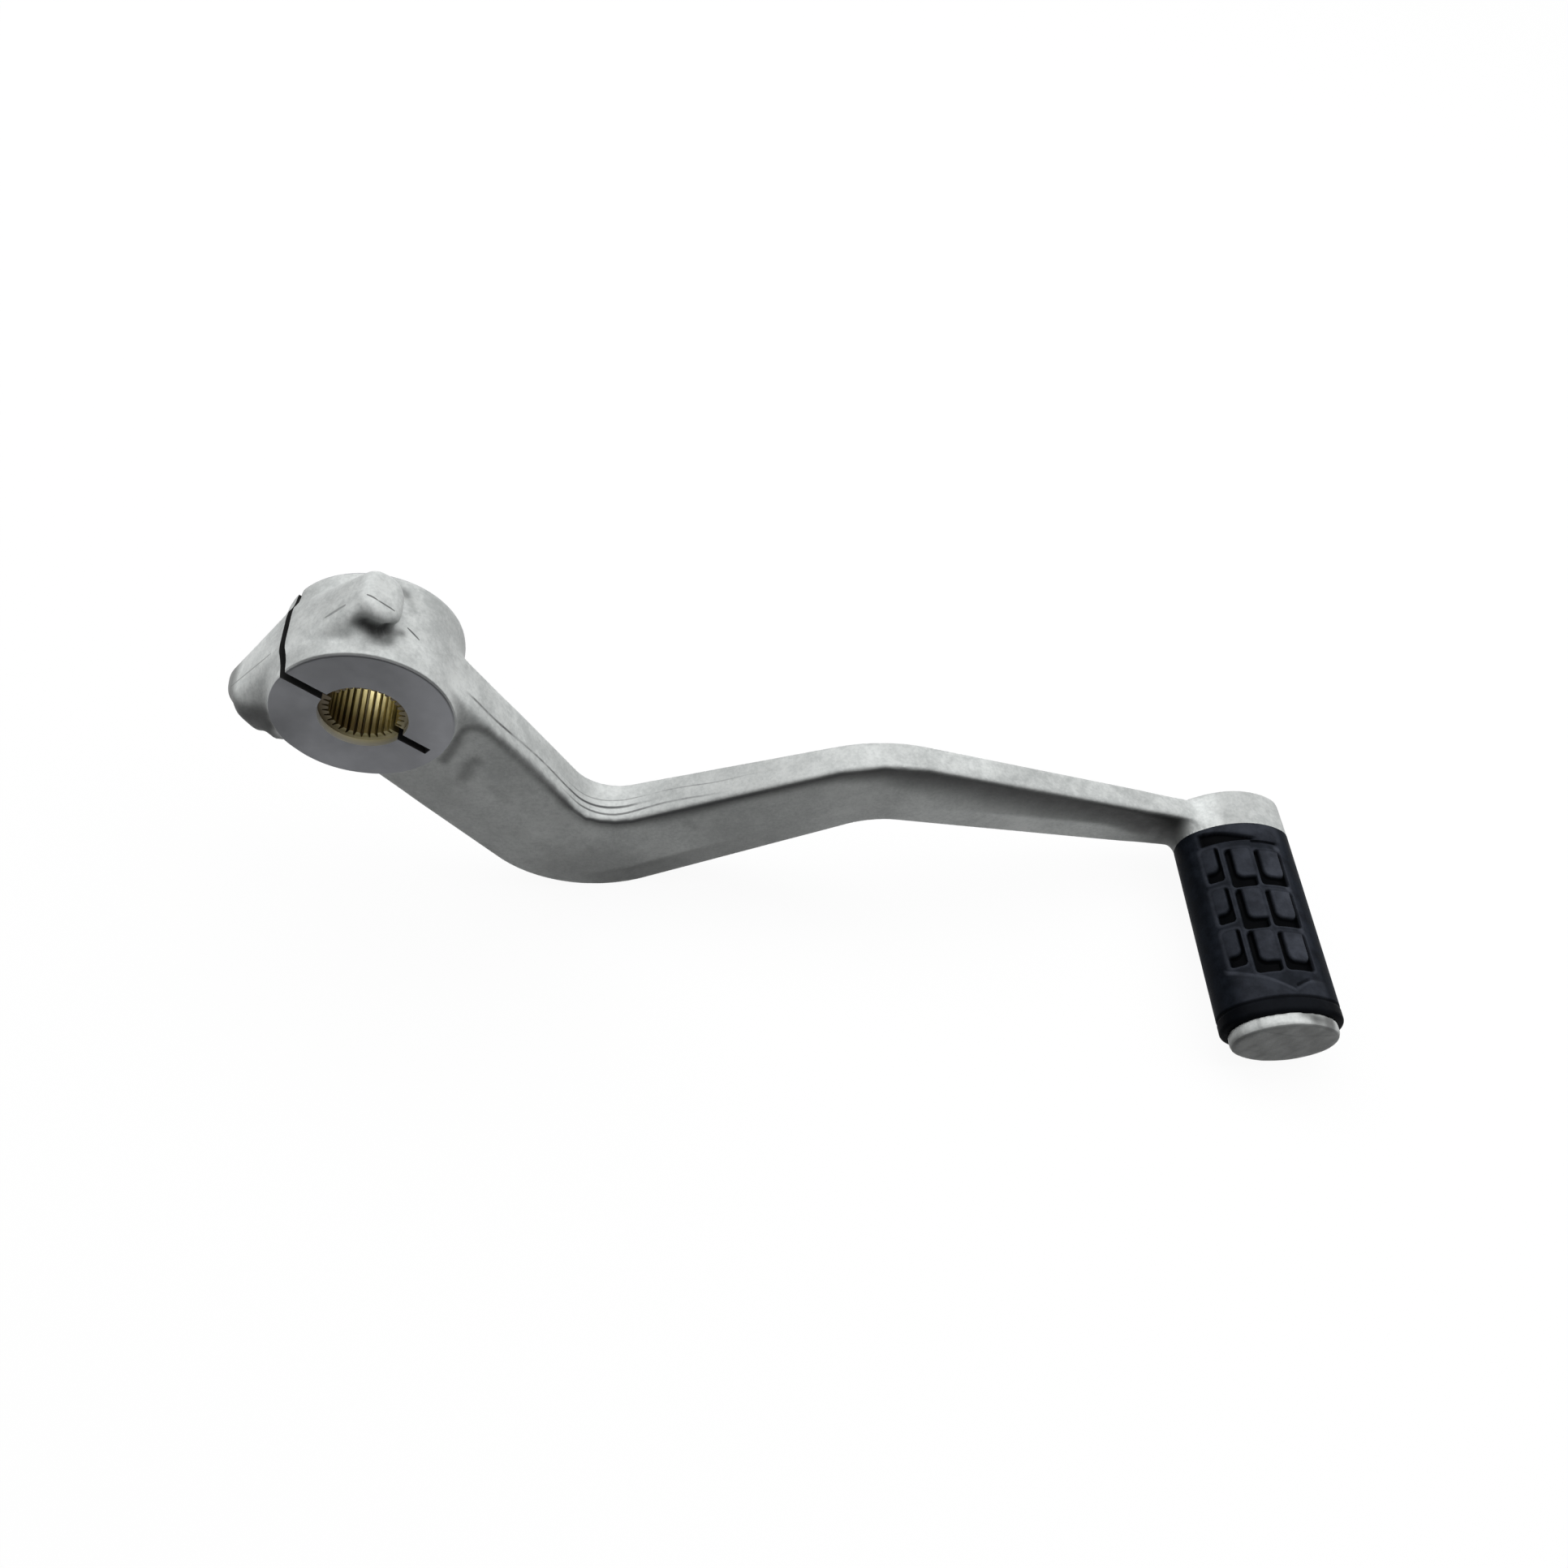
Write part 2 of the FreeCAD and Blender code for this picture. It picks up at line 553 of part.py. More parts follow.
def bore_hub(body, size):
    """Bush seat through the hub, the saw slit with its relief cut, and the pinch-bolt hole."""
    seat = sketch_on(body, "XZ_Plane", "bush_seat_circle")
    circle = seat.addGeometry(Part.Circle(vector(0, 0), vector(0, 0, 1), size["bush_diameter"] / 2))
    seat.addConstraint(Sketcher.Constraint("Coincident", circle, 3, -1, 1))
    fix(seat, "bush_diameter", "Diameter", circle, size["bush_diameter"])
    pocket(body, seat, "bush_seat")
    slit = slit_sketch(body, "slit_outline")
    half, reach = size["slit_width"] / 2, size["hub_diameter"]
    side = draw_polygon(slit, [(-size["slit_relief"], -half), (reach, -half), (reach, half),
                               (-size["slit_relief"], half)])
    place_point(slit, side, 1, "-slit_relief", "-( slit_width / 2 )")
    place_point(slit, side + 1, 1, "hub_diameter", "-( slit_width / 2 )")
    place_point(slit, side + 2, 1, "hub_diameter", "slit_width / 2")
    place_point(slit, side + 3, 1, "-slit_relief", "slit_width / 2")
    pocket(body, slit, "slit")
    for name, along, diameter, depth in (
            ("bolt_hole_cut", "-1 * lug_reach", "bolt_hole", "lug_reach"),
            ("thread_core_cut", "0", "thread_core", "thread_depth")):
        ring = sketch_on(body, "YZ_Plane", name + "_circle")
        tilt_sketch(ring, along)
        circle = ring.addGeometry(Part.Circle(vector(0, size["bolt_offset"]), vector(0, 0, 1), size[diameter] / 2))
        ring.addConstraint(Sketcher.Constraint("PointOnObject", circle, 3, -2))
        fix(ring, "bolt_offset", "DistanceY", -1, 1, circle, 3, size["bolt_offset"])
        fix(ring, diameter, "Diameter", circle, size[diameter])
        pocket(body, ring, name, depth, reverse=True)


def make_casting(doc, size):
    body = doc.addObject("PartDesign::Body", "lever_casting")
    body.Label = "lever_casting"
    add_arm(body, size)
    add_hub(body, size)
    add_boss(body, size)
    add_peg(body, size)
    bore_hub(body, size)
    return body


def make_bush_half(doc, size, label, keep_upper):
    """One half shell of the serrated bush, on its own side of the saw slit."""
    body = doc.addObject("PartDesign::Body", label)
    body.Label = label
    ring = sketch_on(body, "XZ_Plane", label + "_ring")
    for diameter in ("bush_diameter", "spline_minor"):
        circle = ring.addGeometry(Part.Circle(vector(0, 0), vector(0, 0, 1), size[diameter] / 2))
        ring.addConstraint(Sketcher.Constraint("Coincident", circle, 3, -1, 1))
        fix(ring, diameter, "Diameter", circle, size[diameter])
    pad(body, ring, label + "_blank", "hub_length - 2 * bush_recess", both=True)
    space = sketch_on(body, "XZ_Plane", label + "_tooth_space")
    pitch = math.pi * size["spline_minor"] / size["spline_teeth"]
    mouth = (pitch - size["spline_crest"]) / 2
    root = size["spline_root"] / 2
    inner, outer = size["spline_minor"] / 2 - mouth, size["spline_major"] / 2
    side = draw_polygon(space, [(inner, -mouth), (outer, -root), (outer, root), (inner, mouth)])
    mouth_formula = "( pi * spline_minor / spline_teeth - spline_crest ) / 2"
    inner_formula = "spline_minor / 2 - " + mouth_formula
    place_point(space, side, 1, inner_formula, "-(" + mouth_formula + ")")
    place_point(space, side + 1, 1, "spline_major / 2", "-( spline_root / 2 )")
    place_point(space, side + 2, 1, "spline_major / 2", "spline_root / 2")
    place_point(space, side + 3, 1, inner_formula, mouth_formula)
    cut = pocket(body, space, label + "_space")
    spaces = body.newObject("PartDesign::PolarPattern", label + "_serration")
    spaces.Originals = [cut]
    spaces.Axis = (origin_feature(body, "Y_Axis"), [""])
    spaces.Angle = 360
    bind(spaces, "Occurrences", "spline_teeth")
    body.Tip = spaces
    doc.recompute()
    saw = slit_sketch(body, label + "_saw")
    reach, half = size["bush_diameter"], size["slit_width"] / 2
    near = -half if keep_upper else half
    far = reach if keep_upper else -reach
    corners = [(-reach, near), (reach, near), (reach, far), (-reach, far)]
    side = draw_polygon(saw, corners)
    near_formula = "-( slit_width / 2 )" if keep_upper else "slit_width / 2"
    far_formula = "bush_diameter" if keep_upper else "-bush_diameter"
    place_point(saw, side, 1, "-bush_diameter", near_formula)
    place_point(saw, side + 1, 1, "bush_diameter", near_formula)
    place_point(saw, side + 2, 1, "bush_diameter", far_formula)
    place_point(saw, side + 3, 1, "-bush_diameter", far_formula)
    pocket(body, saw, label + "_halving")
    return body


def make_rubber(doc, size):
    """Oval sleeve over the peg core, with grooves round the tread blocks on its top."""
    sleeve = doc.addObject("PartDesign::Body", "rubber_sleeve")
    for name, width, height in (("outside", "peg_width", "peg_height"), ("inside", CORE_WIDTH, CORE_HEIGHT)):
        section = sketch_on(sleeve, "XZ_Plane", "rubber_" + name)
        bind(section, "AttachmentOffset.Base.z", "collar_front")
        doc.recompute()
        draw_oval(section, width, height)
        if name == "outside":
            pad(sleeve, section, "rubber_blank", "rubber_length")
            outer_end = -size["collar_front"] - size["rubber_length"]
            rim = edges_where(sleeve.Shape, lambda p: abs(p.y - outer_end) < MATCH)
            dress(sleeve, "Chamfer", "rubber_lip", rim, Size="rubber_edge_chamfer")
        else:
            pocket(sleeve, section, "rubber_bore", "rubber_length", reverse=True)
    under_tread = doc.addObject("PartDesign::Body", "under_tread")
    floor = sketch_on(under_tread, "XZ_Plane", "tread_floor")
    doc.recompute()
    draw_oval(floor, "peg_width - 2 * tread_depth", "peg_height - 2 * tread_depth")
    pad(under_tread, floor, "tread_core", "collar_front + rubber_length")
    rings = make_tread_rings(doc, size)
    grooves = doc.addObject("Part::Cut", "tread_grooves")
    grooves.Base = rings
    grooves.Tool = under_tread
    rubber = doc.addObject("Part::Cut", "peg_rubber")
    rubber.Base = sleeve
    rubber.Tool = grooves
    rubber.Label = "peg_rubber"
    doc.recompute()
    return rubber


def make_tread_rings(doc, size):
    """Upright prisms of the groove round each tread block, from the peg axis up."""
    body = doc.addObject("PartDesign::Body", "tread_rings")
    bind(body, "Placement.Base.x", "peg_x - tread_pitch_across * (tread_columns - 1) / 2")
    bind(body, "Placement.Base.y", "-1 * (collar_front + tread_start)")
    bind(body, "Placement.Base.z", "-1 * peg_drop")
    ring = sketch_on(body, "XY_Plane", "tread_ring")
    draw_rounded_rectangle(ring, "0", "block_width", "block_length", "block_corner")
    draw_rounded_rectangle(ring, "0", "block_width + 2 * groove_width", "block_length + 2 * groove_width",
                           "block_corner + groove_width")
    prism = pad(body, ring, "tread_prism", "peg_height")
    across = body.newObject("PartDesign::LinearPattern", "tread_across")
    across.Originals = [prism]
    across.Direction = (origin_feature(body, "X_Axis"), [""])
    along = body.newObject("PartDesign::LinearPattern", "tread_along")
    along.Direction = (origin_feature(body, "Y_Axis"), [""])
    along.Reversed = True
    grid = body.newObject("PartDesign::MultiTransform", "tread_grid")
    grid.Originals = [prism]
    for pattern, count, pitch in ((across, "tread_columns", "tread_pitch_across"),
                                  (along, "tread_rows", "tread_pitch_along")):
        pattern.Originals = []
        bind(pattern, "Occurrences", count)
        bind(pattern, "Length", "%s * (%s - 1)" % (pitch, count))
    grid.Transformations = [across, along]
    body.Tip = grid
    doc.recompute()
    return body


def main():
    doc = FreeCAD.newDocument("foot_lever")
    sheet = make_sheet(doc)
    size = {alias: float(sheet.get(alias)) for alias, value, note in DIMENSIONS}
    pieces = [
        make_casting(doc, size),
        make_bush_half(doc, size, "spline_bush_upper", True),
        make_bush_half(doc, size, "spline_bush_lower", False),
        make_rubber(doc, size),
    ]
    doc.recompute()
    for obj in doc.Objects:
        if "Invalid" in obj.State or "Error" in obj.State:
            raise ValueError("%s failed" % obj.Label)
    os.makedirs("parts", exist_ok=True)
    for piece in pieces:
        if piece.Shape.isNull() or not piece.Shape.isValid():
            raise ValueError("%s has no valid shape" % piece.Label)
        piece.Shape.exportStep(os.path.join("parts", piece.Label + ".step"))
        print(piece.Label, len(piece.Shape.Solids), round(piece.Shape.Volume, 1))


main()
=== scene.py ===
import math

import bmesh
import bpy
import numpy as np
from mathutils import Matrix, Vector
from mathutils.bvhtree import BVHTree
from mathutils.kdtree import KDTree


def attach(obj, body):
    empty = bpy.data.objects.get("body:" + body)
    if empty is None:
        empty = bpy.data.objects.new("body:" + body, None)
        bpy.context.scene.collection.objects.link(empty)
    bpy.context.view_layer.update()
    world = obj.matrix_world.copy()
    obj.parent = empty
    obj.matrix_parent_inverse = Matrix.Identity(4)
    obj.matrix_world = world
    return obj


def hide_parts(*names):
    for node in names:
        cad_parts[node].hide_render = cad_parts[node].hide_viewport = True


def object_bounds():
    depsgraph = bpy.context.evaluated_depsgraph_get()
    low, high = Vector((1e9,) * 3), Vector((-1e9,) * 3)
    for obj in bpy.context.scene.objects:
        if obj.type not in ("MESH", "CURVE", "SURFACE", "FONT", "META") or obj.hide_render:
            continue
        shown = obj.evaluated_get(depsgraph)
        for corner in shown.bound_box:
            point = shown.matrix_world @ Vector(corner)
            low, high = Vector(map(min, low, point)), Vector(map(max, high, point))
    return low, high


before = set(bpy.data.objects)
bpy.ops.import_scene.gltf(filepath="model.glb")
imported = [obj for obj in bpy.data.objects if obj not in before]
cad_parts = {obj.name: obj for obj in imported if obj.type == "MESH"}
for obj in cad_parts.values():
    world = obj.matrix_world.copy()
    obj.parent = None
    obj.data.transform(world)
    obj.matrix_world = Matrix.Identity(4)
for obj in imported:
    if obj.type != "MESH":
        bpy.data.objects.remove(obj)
CAD_BOX = [list(corner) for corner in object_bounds()]

bl_info = {
    "name": "Cast foot lever",
    "version": (1, 0, 0),
    "blender": (4, 5, 0),
    "location": "View3D > Sidebar > Foot lever",
    "description": "Dresses the foot lever: cast skin, serrated bush, tread rubber and a plain stage",
    "category": "Add Mesh",
}

MM = 0.001
CASTING = "lever_casting"
RUBBER = "peg_rubber"
BUSHES = ("spline_bush_upper", "spline_bush_lower")

# Linear colours of the fine lines and painted shade lines, of the painted shade in the slit, of the painted
# light in the bush seat, and of the painted shade and light on the bush
LINE_AND_SHADE_INK = (0.018, 0.019, 0.021, 1.0)
SLIT_SHADE = (0.004, 0.004, 0.004, 1.0)
RECESS_LIGHT = (0.60, 0.55, 0.38, 1.0)
BUSH_FRONT_SHADE = (0.16, 0.11, 0.035, 1.0)
ROOT_SHADE = (0.07, 0.045, 0.012, 1.0)
RING_SHADE = (0.06, 0.042, 0.014, 1.0)
RING_LIGHT = (0.60, 0.55, 0.36, 1.0)
WHITE = (1.0, 1.0, 1.0, 1.0)

# Front of the arm: its rise along X, and its Y in millimetres at the bore axis
FRONT_RISE = 3.9 / 186.5
FRONT_START = 16.0 * FRONT_RISE - 8.6
# Upper and lower edge of the arm in front view, X and Z in millimetres
ARM_TOP = ((17.0, 1.2), (34.3, -30.9), (36.2, -33.6), (38.8, -34.9), (41.7, -35.5), (44.9, -35.2),
           (85.6, -22.3), (94.3, -21.1), (103.0, -22.5), (170.5, -45.4))
ARM_LOW = ((17.0, -50.1), (22.9, -55.6), (29.8, -58.4), (37.5, -59.3), (45.0, -57.6), (88.1, -40.6),
           (93.2, -39.4), (98.5, -39.7), (170.5, -55.2))
# Filler under the root of the lug in millimetres: ends along the bolt, shift off the bolt axis, radius
ROOT_ENDS = (-18.0, -9.0)
ROOT_SHIFT = (3.0, -5.7, -3.1)
ROOT_RADIUS = 2.7
# Places of the skin that are smoothed or pressed in, in millimetres: ends of a line, full within, none beyond
SHOULDER = ((17.0, -8.0, -3.0), (20.0, -7.6, -6.0), 2.0, 5.5)
NOSE_HOLLOW = ((3.6, -5.6, 18.0), (6.4, -4.6, 16.0), 0.6, 3.0)
LUG_TOE = ((-26.4, -4.6, -3.2), (-24.2, -5.2, -6.0), 0.8, 4.2)
LUG_TOE_DEPTH = 1.7
# X in millimetres beyond which all that stands in front of the collar's seat is the peg
PEG_SIDE = 120.0
# Zones of the skin: soft steps, each a field in millimetres, where it starts and where it is full
SKIN_ZONES = {
    "hub": (("radius", 30.0, 22.0),),
    "collar": (("from_peg", 24.0, 18.0), ("y", -6.9, -6.0)),
    "nose": (("across", 2.0, 5.0), ("z", 6.0, 11.0)),
    "crease": (("x", 6.0, 11.0), ("y", -4.5, -6.0), ("z", 9.0, 4.0)),
    "cheek": (("across", -1.0, 1.0), ("z", 4.0, 8.0)),
    "seam": (("off_slit", 6.0, 3.0), ("z", 4.0, 8.0), ("y", 0.0, -2.0)),
    "arm": (("y", -8.6, -8.2),),
    "lug": (("x", -14.5, -17.0), ("radius", 16.8, 18.0), ("y", 2.0, -1.0)),
}
# Zones and steps for the tone of the skin
ARM_ZONE = (("radius", 17.0, 19.5), ("x", 162.0, 157.5), ("x", 5.0, 5.01))
FLANK_ZONE = (("z", 4.0, 8.0), ("x", 4.0, 1.0), ("x", -16.0, -12.0), ("radius", 26.01, 26.0),
              ("y", -9.61, -9.6))
LUG_SIDE = ("x", -12.0, -16.0)
FACES_UP = ("up", 0.5, 0.8)
AS_CAST = ("cast", 0.0, 1.0)
# Change of tone of parts of the skin, most of it painted light and shade, and the soft steps that bound each,
# on the fields of paint_casting
TONE_RULES = {
    # painted highlight on the outside edges
    "painted highlight on outside edges": (0.12, (("hollow", -0.06, -0.25), AS_CAST)),
    # painted shade on the lug where it faces down, painted light where it faces up and to the front, painted
    # shade on its underside
    "painted shade on the lug from below": (-0.60, (LUG_SIDE, ("below", 0.2, 0.7))),
    "painted light on the lug from above": (0.45, (LUG_SIDE, ("up", -0.05, 0.3), ("up", 0.95, 0.7))),
    "painted light on the lug from the front": (0.45, (LUG_SIDE, ("toward", 0.35, 0.85))),
    "painted shade on the underside of the lug": (-0.76, (("x", -14.0, -16.5), ("z", 2.0, -1.0), ("y", -8.6, -7.8))),
    # painted light on the front of the boss, painted shade on the tops of the arm by the way they slope, and
    # in the corner of hub and arm
    "painted light on the front of the boss": (0.60, FLANK_ZONE + (("ahead", 0.1, 0.5),)),
    "painted shade on the rising top of the arm": (-0.16, (("x", 38.0, 48.0), ("x", 92.0, 80.0), FACES_UP)),
    "painted shade on the falling top of the arm": (-0.10, (("x", 104.0, 116.0), ("x", 162.0, 158.0), FACES_UP)),
    "painted shade in the corner of hub and arm": (-0.30, (("radius", 18.2, 17.0), ("radius", 15.9, 16.2), ("x", 8.0, 8.01),
                                      ("y", -7.0, -7.01), ("z", -13.0, -8.0))),
    # painted highlight on the rim of the hub by the lug
    "painted highlight on the rim of the hub by the lug": (0.80, (("y", -7.8, -8.8), ("x", -9.0, -13.0), ("radius", 18.51, 18.5),
                                         AS_CAST)),
    "edge of the peg's head": (-0.12, (("y", -50.3, -50.6), ("y", -53.15, -52.9))),
}
# Highest tone, which keeps the skin from giving back more light than it gets
BRIGHTEST = 1.4
# Painted shade on the front of the arm under its upper edge: X along the arm, tone under the upper edge, how
# far down it fades
EDGE_SHADE = ((20.0, 0.75, 1.2), (32.0, 0.60, 1.4), (38.0, 0.20, 2.4), (50.0, 0.10, 3.2), (58.0, 0.03, 3.6),
             (66.0, 0.05, 2.6), (80.0, 0.08, 3.0), (90.0, 0.05, 4.6), (100.0, 0.03, 8.5), (110.0, 0.06, 10.0),
             (132.0, 0.10, 13.0), (145.0, 0.07, 15.0), (153.0, 0.01, 26.0), (162.0, 0.01, 26.0))
# Painted light and shade on the draft facet along the lower front edge: X along the arm and level
FACET_LIGHT_AND_SHADE = ((20.0, 1.12), (30.0, 1.0), (38.0, 0.55), (46.0, 0.45), (53.0, 0.5), (58.0, 0.68), (68.0, 0.9),
              (79.0, 1.08), (95.0, 1.18), (112.0, 1.25), (132.0, 1.5), (144.0, 1.3), (150.0, 0.9),
              (155.0, 0.40), (162.0, 0.30))
# Soft patches on the casting, painted shade and a painted highlight among stains, in millimetres: points of
# the middle line, reach and tone
SHADE_LIGHT_AND_STAIN_PATCHES = (
    # painted shade in the hollow under the nose and on its right flank
    (((3.4, -4.9, 20.2), (5.1, -5.4, 19.2)), 1.5, 0.85),
    (((2.2, -5.0, 18.6), (4.4, -4.7, 16.9), (6.2, -3.9, 15.5)), 1.7, 0.15),
    (((6.0, -4.0, 15.5), (8.4, -2.8, 13.9)), 1.0, 0.30),
    (((3.4, -4.9, 17.5), (5.0, -4.5, 16.3), (6.4, -3.8, 15.3)), 1.7, 0.03),
    # painted shade on the lug
    (((-18.2, -7.2, -2.4), (-17.0, -7.5, -4.4)), 1.3, 0.45),
    # dirt marks on the rim of the peg's head
    (((170.9, -51.0, -41.6), (173.2, -51.6, -42.0)), 1.0, 0.45),
    # darker patches at the back of the nose
    (((7.4, 6.9, 14.2), (8.0, 6.3, 13.8)), 1.0, 0.45),
    (((6.2, 9.0, 14.8), (7.6, 7.4, 14.1), (9.6, 3.4, 12.9)), 1.3, 0.78),
    # stains on the front of the arm
    (((14.4, -8.0, -19.6), (15.9, -8.0, -16.4), (17.2, -8.0, -15.2)), 1.9, 0.50),
    (((19.5, -8.0, -23.5), (21.5, -8.0, -27.5)), 1.4, 0.82),
    # darker spots on the front of the arm
    (((56.0, -7.1, -37.0), (57.5, -7.1, -38.5)), 1.3, 0.78),
    (((11.5, -8.2, -20.0), (14.0, -8.2, -23.0)), 1.2, 0.84),
    # painted shade along the crease of hub and arm
    (((11.6, -8.0, -14.6), (14.6, -7.9, -9.1), (16.2, -7.9, -6.2), (18.1, -7.9, -5.4), (20.4, -7.9, -6.9),
      (22.9, -7.6, -10.2), (26.6, -7.3, -16.7), (29.7, -7.4, -22.8), (33.0, -7.6, -30.3)), 1.45, 0.34),
    # painted shade at the underside of the bend
    (((31.0, -7.4, -49.0), (41.0, -7.4, -50.0)), 9.0, 0.66),
    # painted highlight where the arm meets the collar
    (((162.6, -0.5, -42.3), (164.8, -5.0, -43.0)), 2.2, 1.25),
    # darker at the right end of the rim of the peg's head
    (((173.9, -51.7, -42.0), (177.0, -51.7, -44.0)), 1.8, 0.20),
)
# Sine waves that make the soft patches and the darkening of the end of the peg's head uneven: rate along X,
# rate along Z and start
WAVER = ((2.1, 0.9, 0.0), (-0.9, 1.3, 1.0), (2.7, -1.9, 0.0))
HEAD_FACE_WAVES = ((1.1, 0.7, 0.0), (-1.3, 0.8, 2.0), (2.3, -1.7, 0.0))
# Thin lines in the skin of the hub in millimetres: points, half width and darkness
SKIN_LINES = (
    (((4.15, -2.24, 22.39), (5.89, -2.72, 21.45), (8.24, -2.84, 18.97)), 0.26, 0.80),
    (((8.99, -1.05, 13.18), (10.98, -2.58, 11.63)), 0.28, 0.85),
    (((-24.70, -1.33, -1.12), (-14.42, -3.33, 9.65)), 0.30, 0.45),
    (((-3.70, -3.00, 17.70), (0.40, -2.60, 20.30)), 0.40, 0.50),
)
# Lines along the top of the arm: distance from its front edge, darkness, first and last X, in millimetres
TOP_LINES = ((3.5, 0.90, 14.0, 56.0), (1.9, 0.75, 31.0, 66.0), (5.1, 0.40, 30.0, 74.0))

# Tread blocks in millimetres: left, right, near and far of the pit, then of the pad in it
TREAD_CELLS = (
    ((-5.3, -0.1, 6.0, 15.2), (-4.0, 1.2, 4.2, 12.9)),
    ((0.7, 7.0, 6.6, 15.0), (1.8, 6.6, 4.2, 13.0)),
    ((-9.9, -6.5, 4.9, 12.9), (-12.2, -7.1, 2.6, 10.6)),
)
TREAD_ROWS = 3
TREAD_PITCH = 9.75
# Other boxes of the tread, laid out as the blocks are; those of the crests, glints and flange hold painted
# highlights
CREST_MARGIN = (-0.7, 0.6, -0.7, 0.6)
GLINT_BOX = (5.6, 7.4, 5.0, 6.6)
SEAM_BOX = (0.5, 7.0, 3.0, 6.0)
RIDGE_BOX = (-11.0, 6.5, 30.0, 41.0)
FLANGE_BOX = (-9.0, 7.0, -2.0, 6.0)
# Lines of the tread: places across the rubber, then along it
BAND_EDGE = ((-11.4, -3.9, 1.2, 4.3, 8.0), (32.6, 35.75, 38.9, 36.8, 36.6))
NOTCH_LINE = ((1.2, 5.4), (38.2, 36.2))
SEAM_PLACE = 4.5
COLLAR_PLACE = 40.4
END_ROUND = 0.9

# Stage in metres: floor, size of the soft box and where it aims; the camera's sensor in millimetres
FLOOR_RADIUS = 6.0
FLOOR_MIDDLE = (0.08, 0.0)
LAMP_SIZE = (2.2, 0.6)
LAMP_AIM = (0.07, 0.0, -0.03)
SENSOR = 36.0


def length_setting(name, description, millimetres):
    """Setting of a length."""
    return bpy.props.FloatProperty(
        name=name, description=description, default=millimetres * MM, unit="LENGTH")


def angle_setting(name, description, degrees):
    """Setting of an angle."""
    return bpy.props.FloatProperty(
        name=name, description=description, default=math.radians(degrees), subtype="ANGLE")


def colour_setting(name, description, default):
    """Setting of a linear colour."""
    return bpy.props.FloatVectorProperty(
        name=name, description=description, default=default, size=3, subtype="COLOR", min=0.0, max=1.0)


class LeverCastingSettings(bpy.types.PropertyGroup):
    """Sizes of the cast skin, in metres."""

    voxel: length_setting("Skin step", "Size of the quads of the cast skin", 0.52)
    hub_radius: length_setting("Hub radius", "Outside of the hub", 16.0)
    hub_half: length_setting("Half hub length", "Hub face from the middle plane", 9.85)
    rim_step: length_setting("Rim step", "Broken edge round the hub faces", 0.35)
    seat_radius: length_setting("Seat radius", "Bush seat in the hub", 7.8)
    bush_recess: length_setting("Bush recess", "Bush below each hub face", 1.35)
    slit_angle: angle_setting("Slit direction", "Open side of the slit, from +X towards +Z", 134.5)
    slit_width: length_setting("Slit width", "Saw cut", 1.5)
    slit_relief: length_setting("Slit relief", "End of the cut beyond the bore", 13.6)
    bolt_offset: length_setting("Bolt offset", "Bolt axis from the bore axis", 11.2)
    bolt_radius: length_setting("Bolt hole radius", "Clearance hole in the lug", 3.2)
    thread_radius: length_setting("Thread radius", "Thread core in the nose", 2.5)
    thread_depth: length_setting("Thread depth", "Thread core from the slit", 12.0)
    lug_reach: length_setting("Lug reach", "End of the lug from the slit", 21.5)
    fill_passes: bpy.props.IntProperty(
        name="Fillet passes", description="How far hollow corners are filled", default=60, min=0)
    nose_hollow: length_setting("Nose hollow", "Depth of the hollow under the nose", 1.3)
    peg_lean: bpy.props.FloatProperty(
        name="Peg lean", description="Lean of the peg towards the hub, sideways per length", default=0.02)


class LeverRubberSettings(bpy.types.PropertyGroup):
    """Sizes of the tread rubber, in metres."""

    across: bpy.props.IntProperty(
        name="Steps round", description="Mesh steps round the sleeve", default=320, min=60)
    along: bpy.props.IntProperty(
        name="Steps along", description="Mesh steps along the sleeve", default=250, min=40)
    length: length_setting("Length", "Sleeve along the peg", 43.4)
    inner_end: length_setting("Inner end", "Y place of the collar seat", -7.0)
    width: length_setting("Width", "Oval across", 24.0)
    height: length_setting("Height", "Oval upright", 17.2)
    end_share: bpy.props.FloatProperty(
        name="End share", description="End radius of the oval as a share of half its height", default=0.8)
    wall: length_setting("Wall", "Rubber round the core", 2.9)
    axis: bpy.props.FloatVectorProperty(
        name="Peg axis", description="X and Z of the peg axis", default=(170.5 * MM, -49.3 * MM), size=2,
        subtype="XYZ")
    groove: length_setting("Groove depth", "Deepest part of the tread", 1.2)


class LeverFinishSettings(bpy.types.PropertyGroup):
    """Colours of the finishes, linear."""

    cast_light: colour_setting("Cast aluminium", "Light grain of the cast skin", (0.66, 0.68, 0.67))
    cast_dark: colour_setting("Cast shadow", "Dark grain of the cast skin", (0.46, 0.48, 0.475))
    machined: colour_setting("Machined face", "Faces cut after casting", (0.44, 0.45, 0.48))
    brass: colour_setting("Brass", "Serrated bush", (0.82, 0.72, 0.35))
    rubber: colour_setting("Rubber", "Tread rubber", (0.0085, 0.0105, 0.0145))
    # paler colour of the rubber, for wear and for painted light and highlights
    rubber_wear_and_sheen: colour_setting("Rubber wear and sheen", "Rubbed ribs and block edges, with painted sheen", (0.053, 0.058, 0.072))


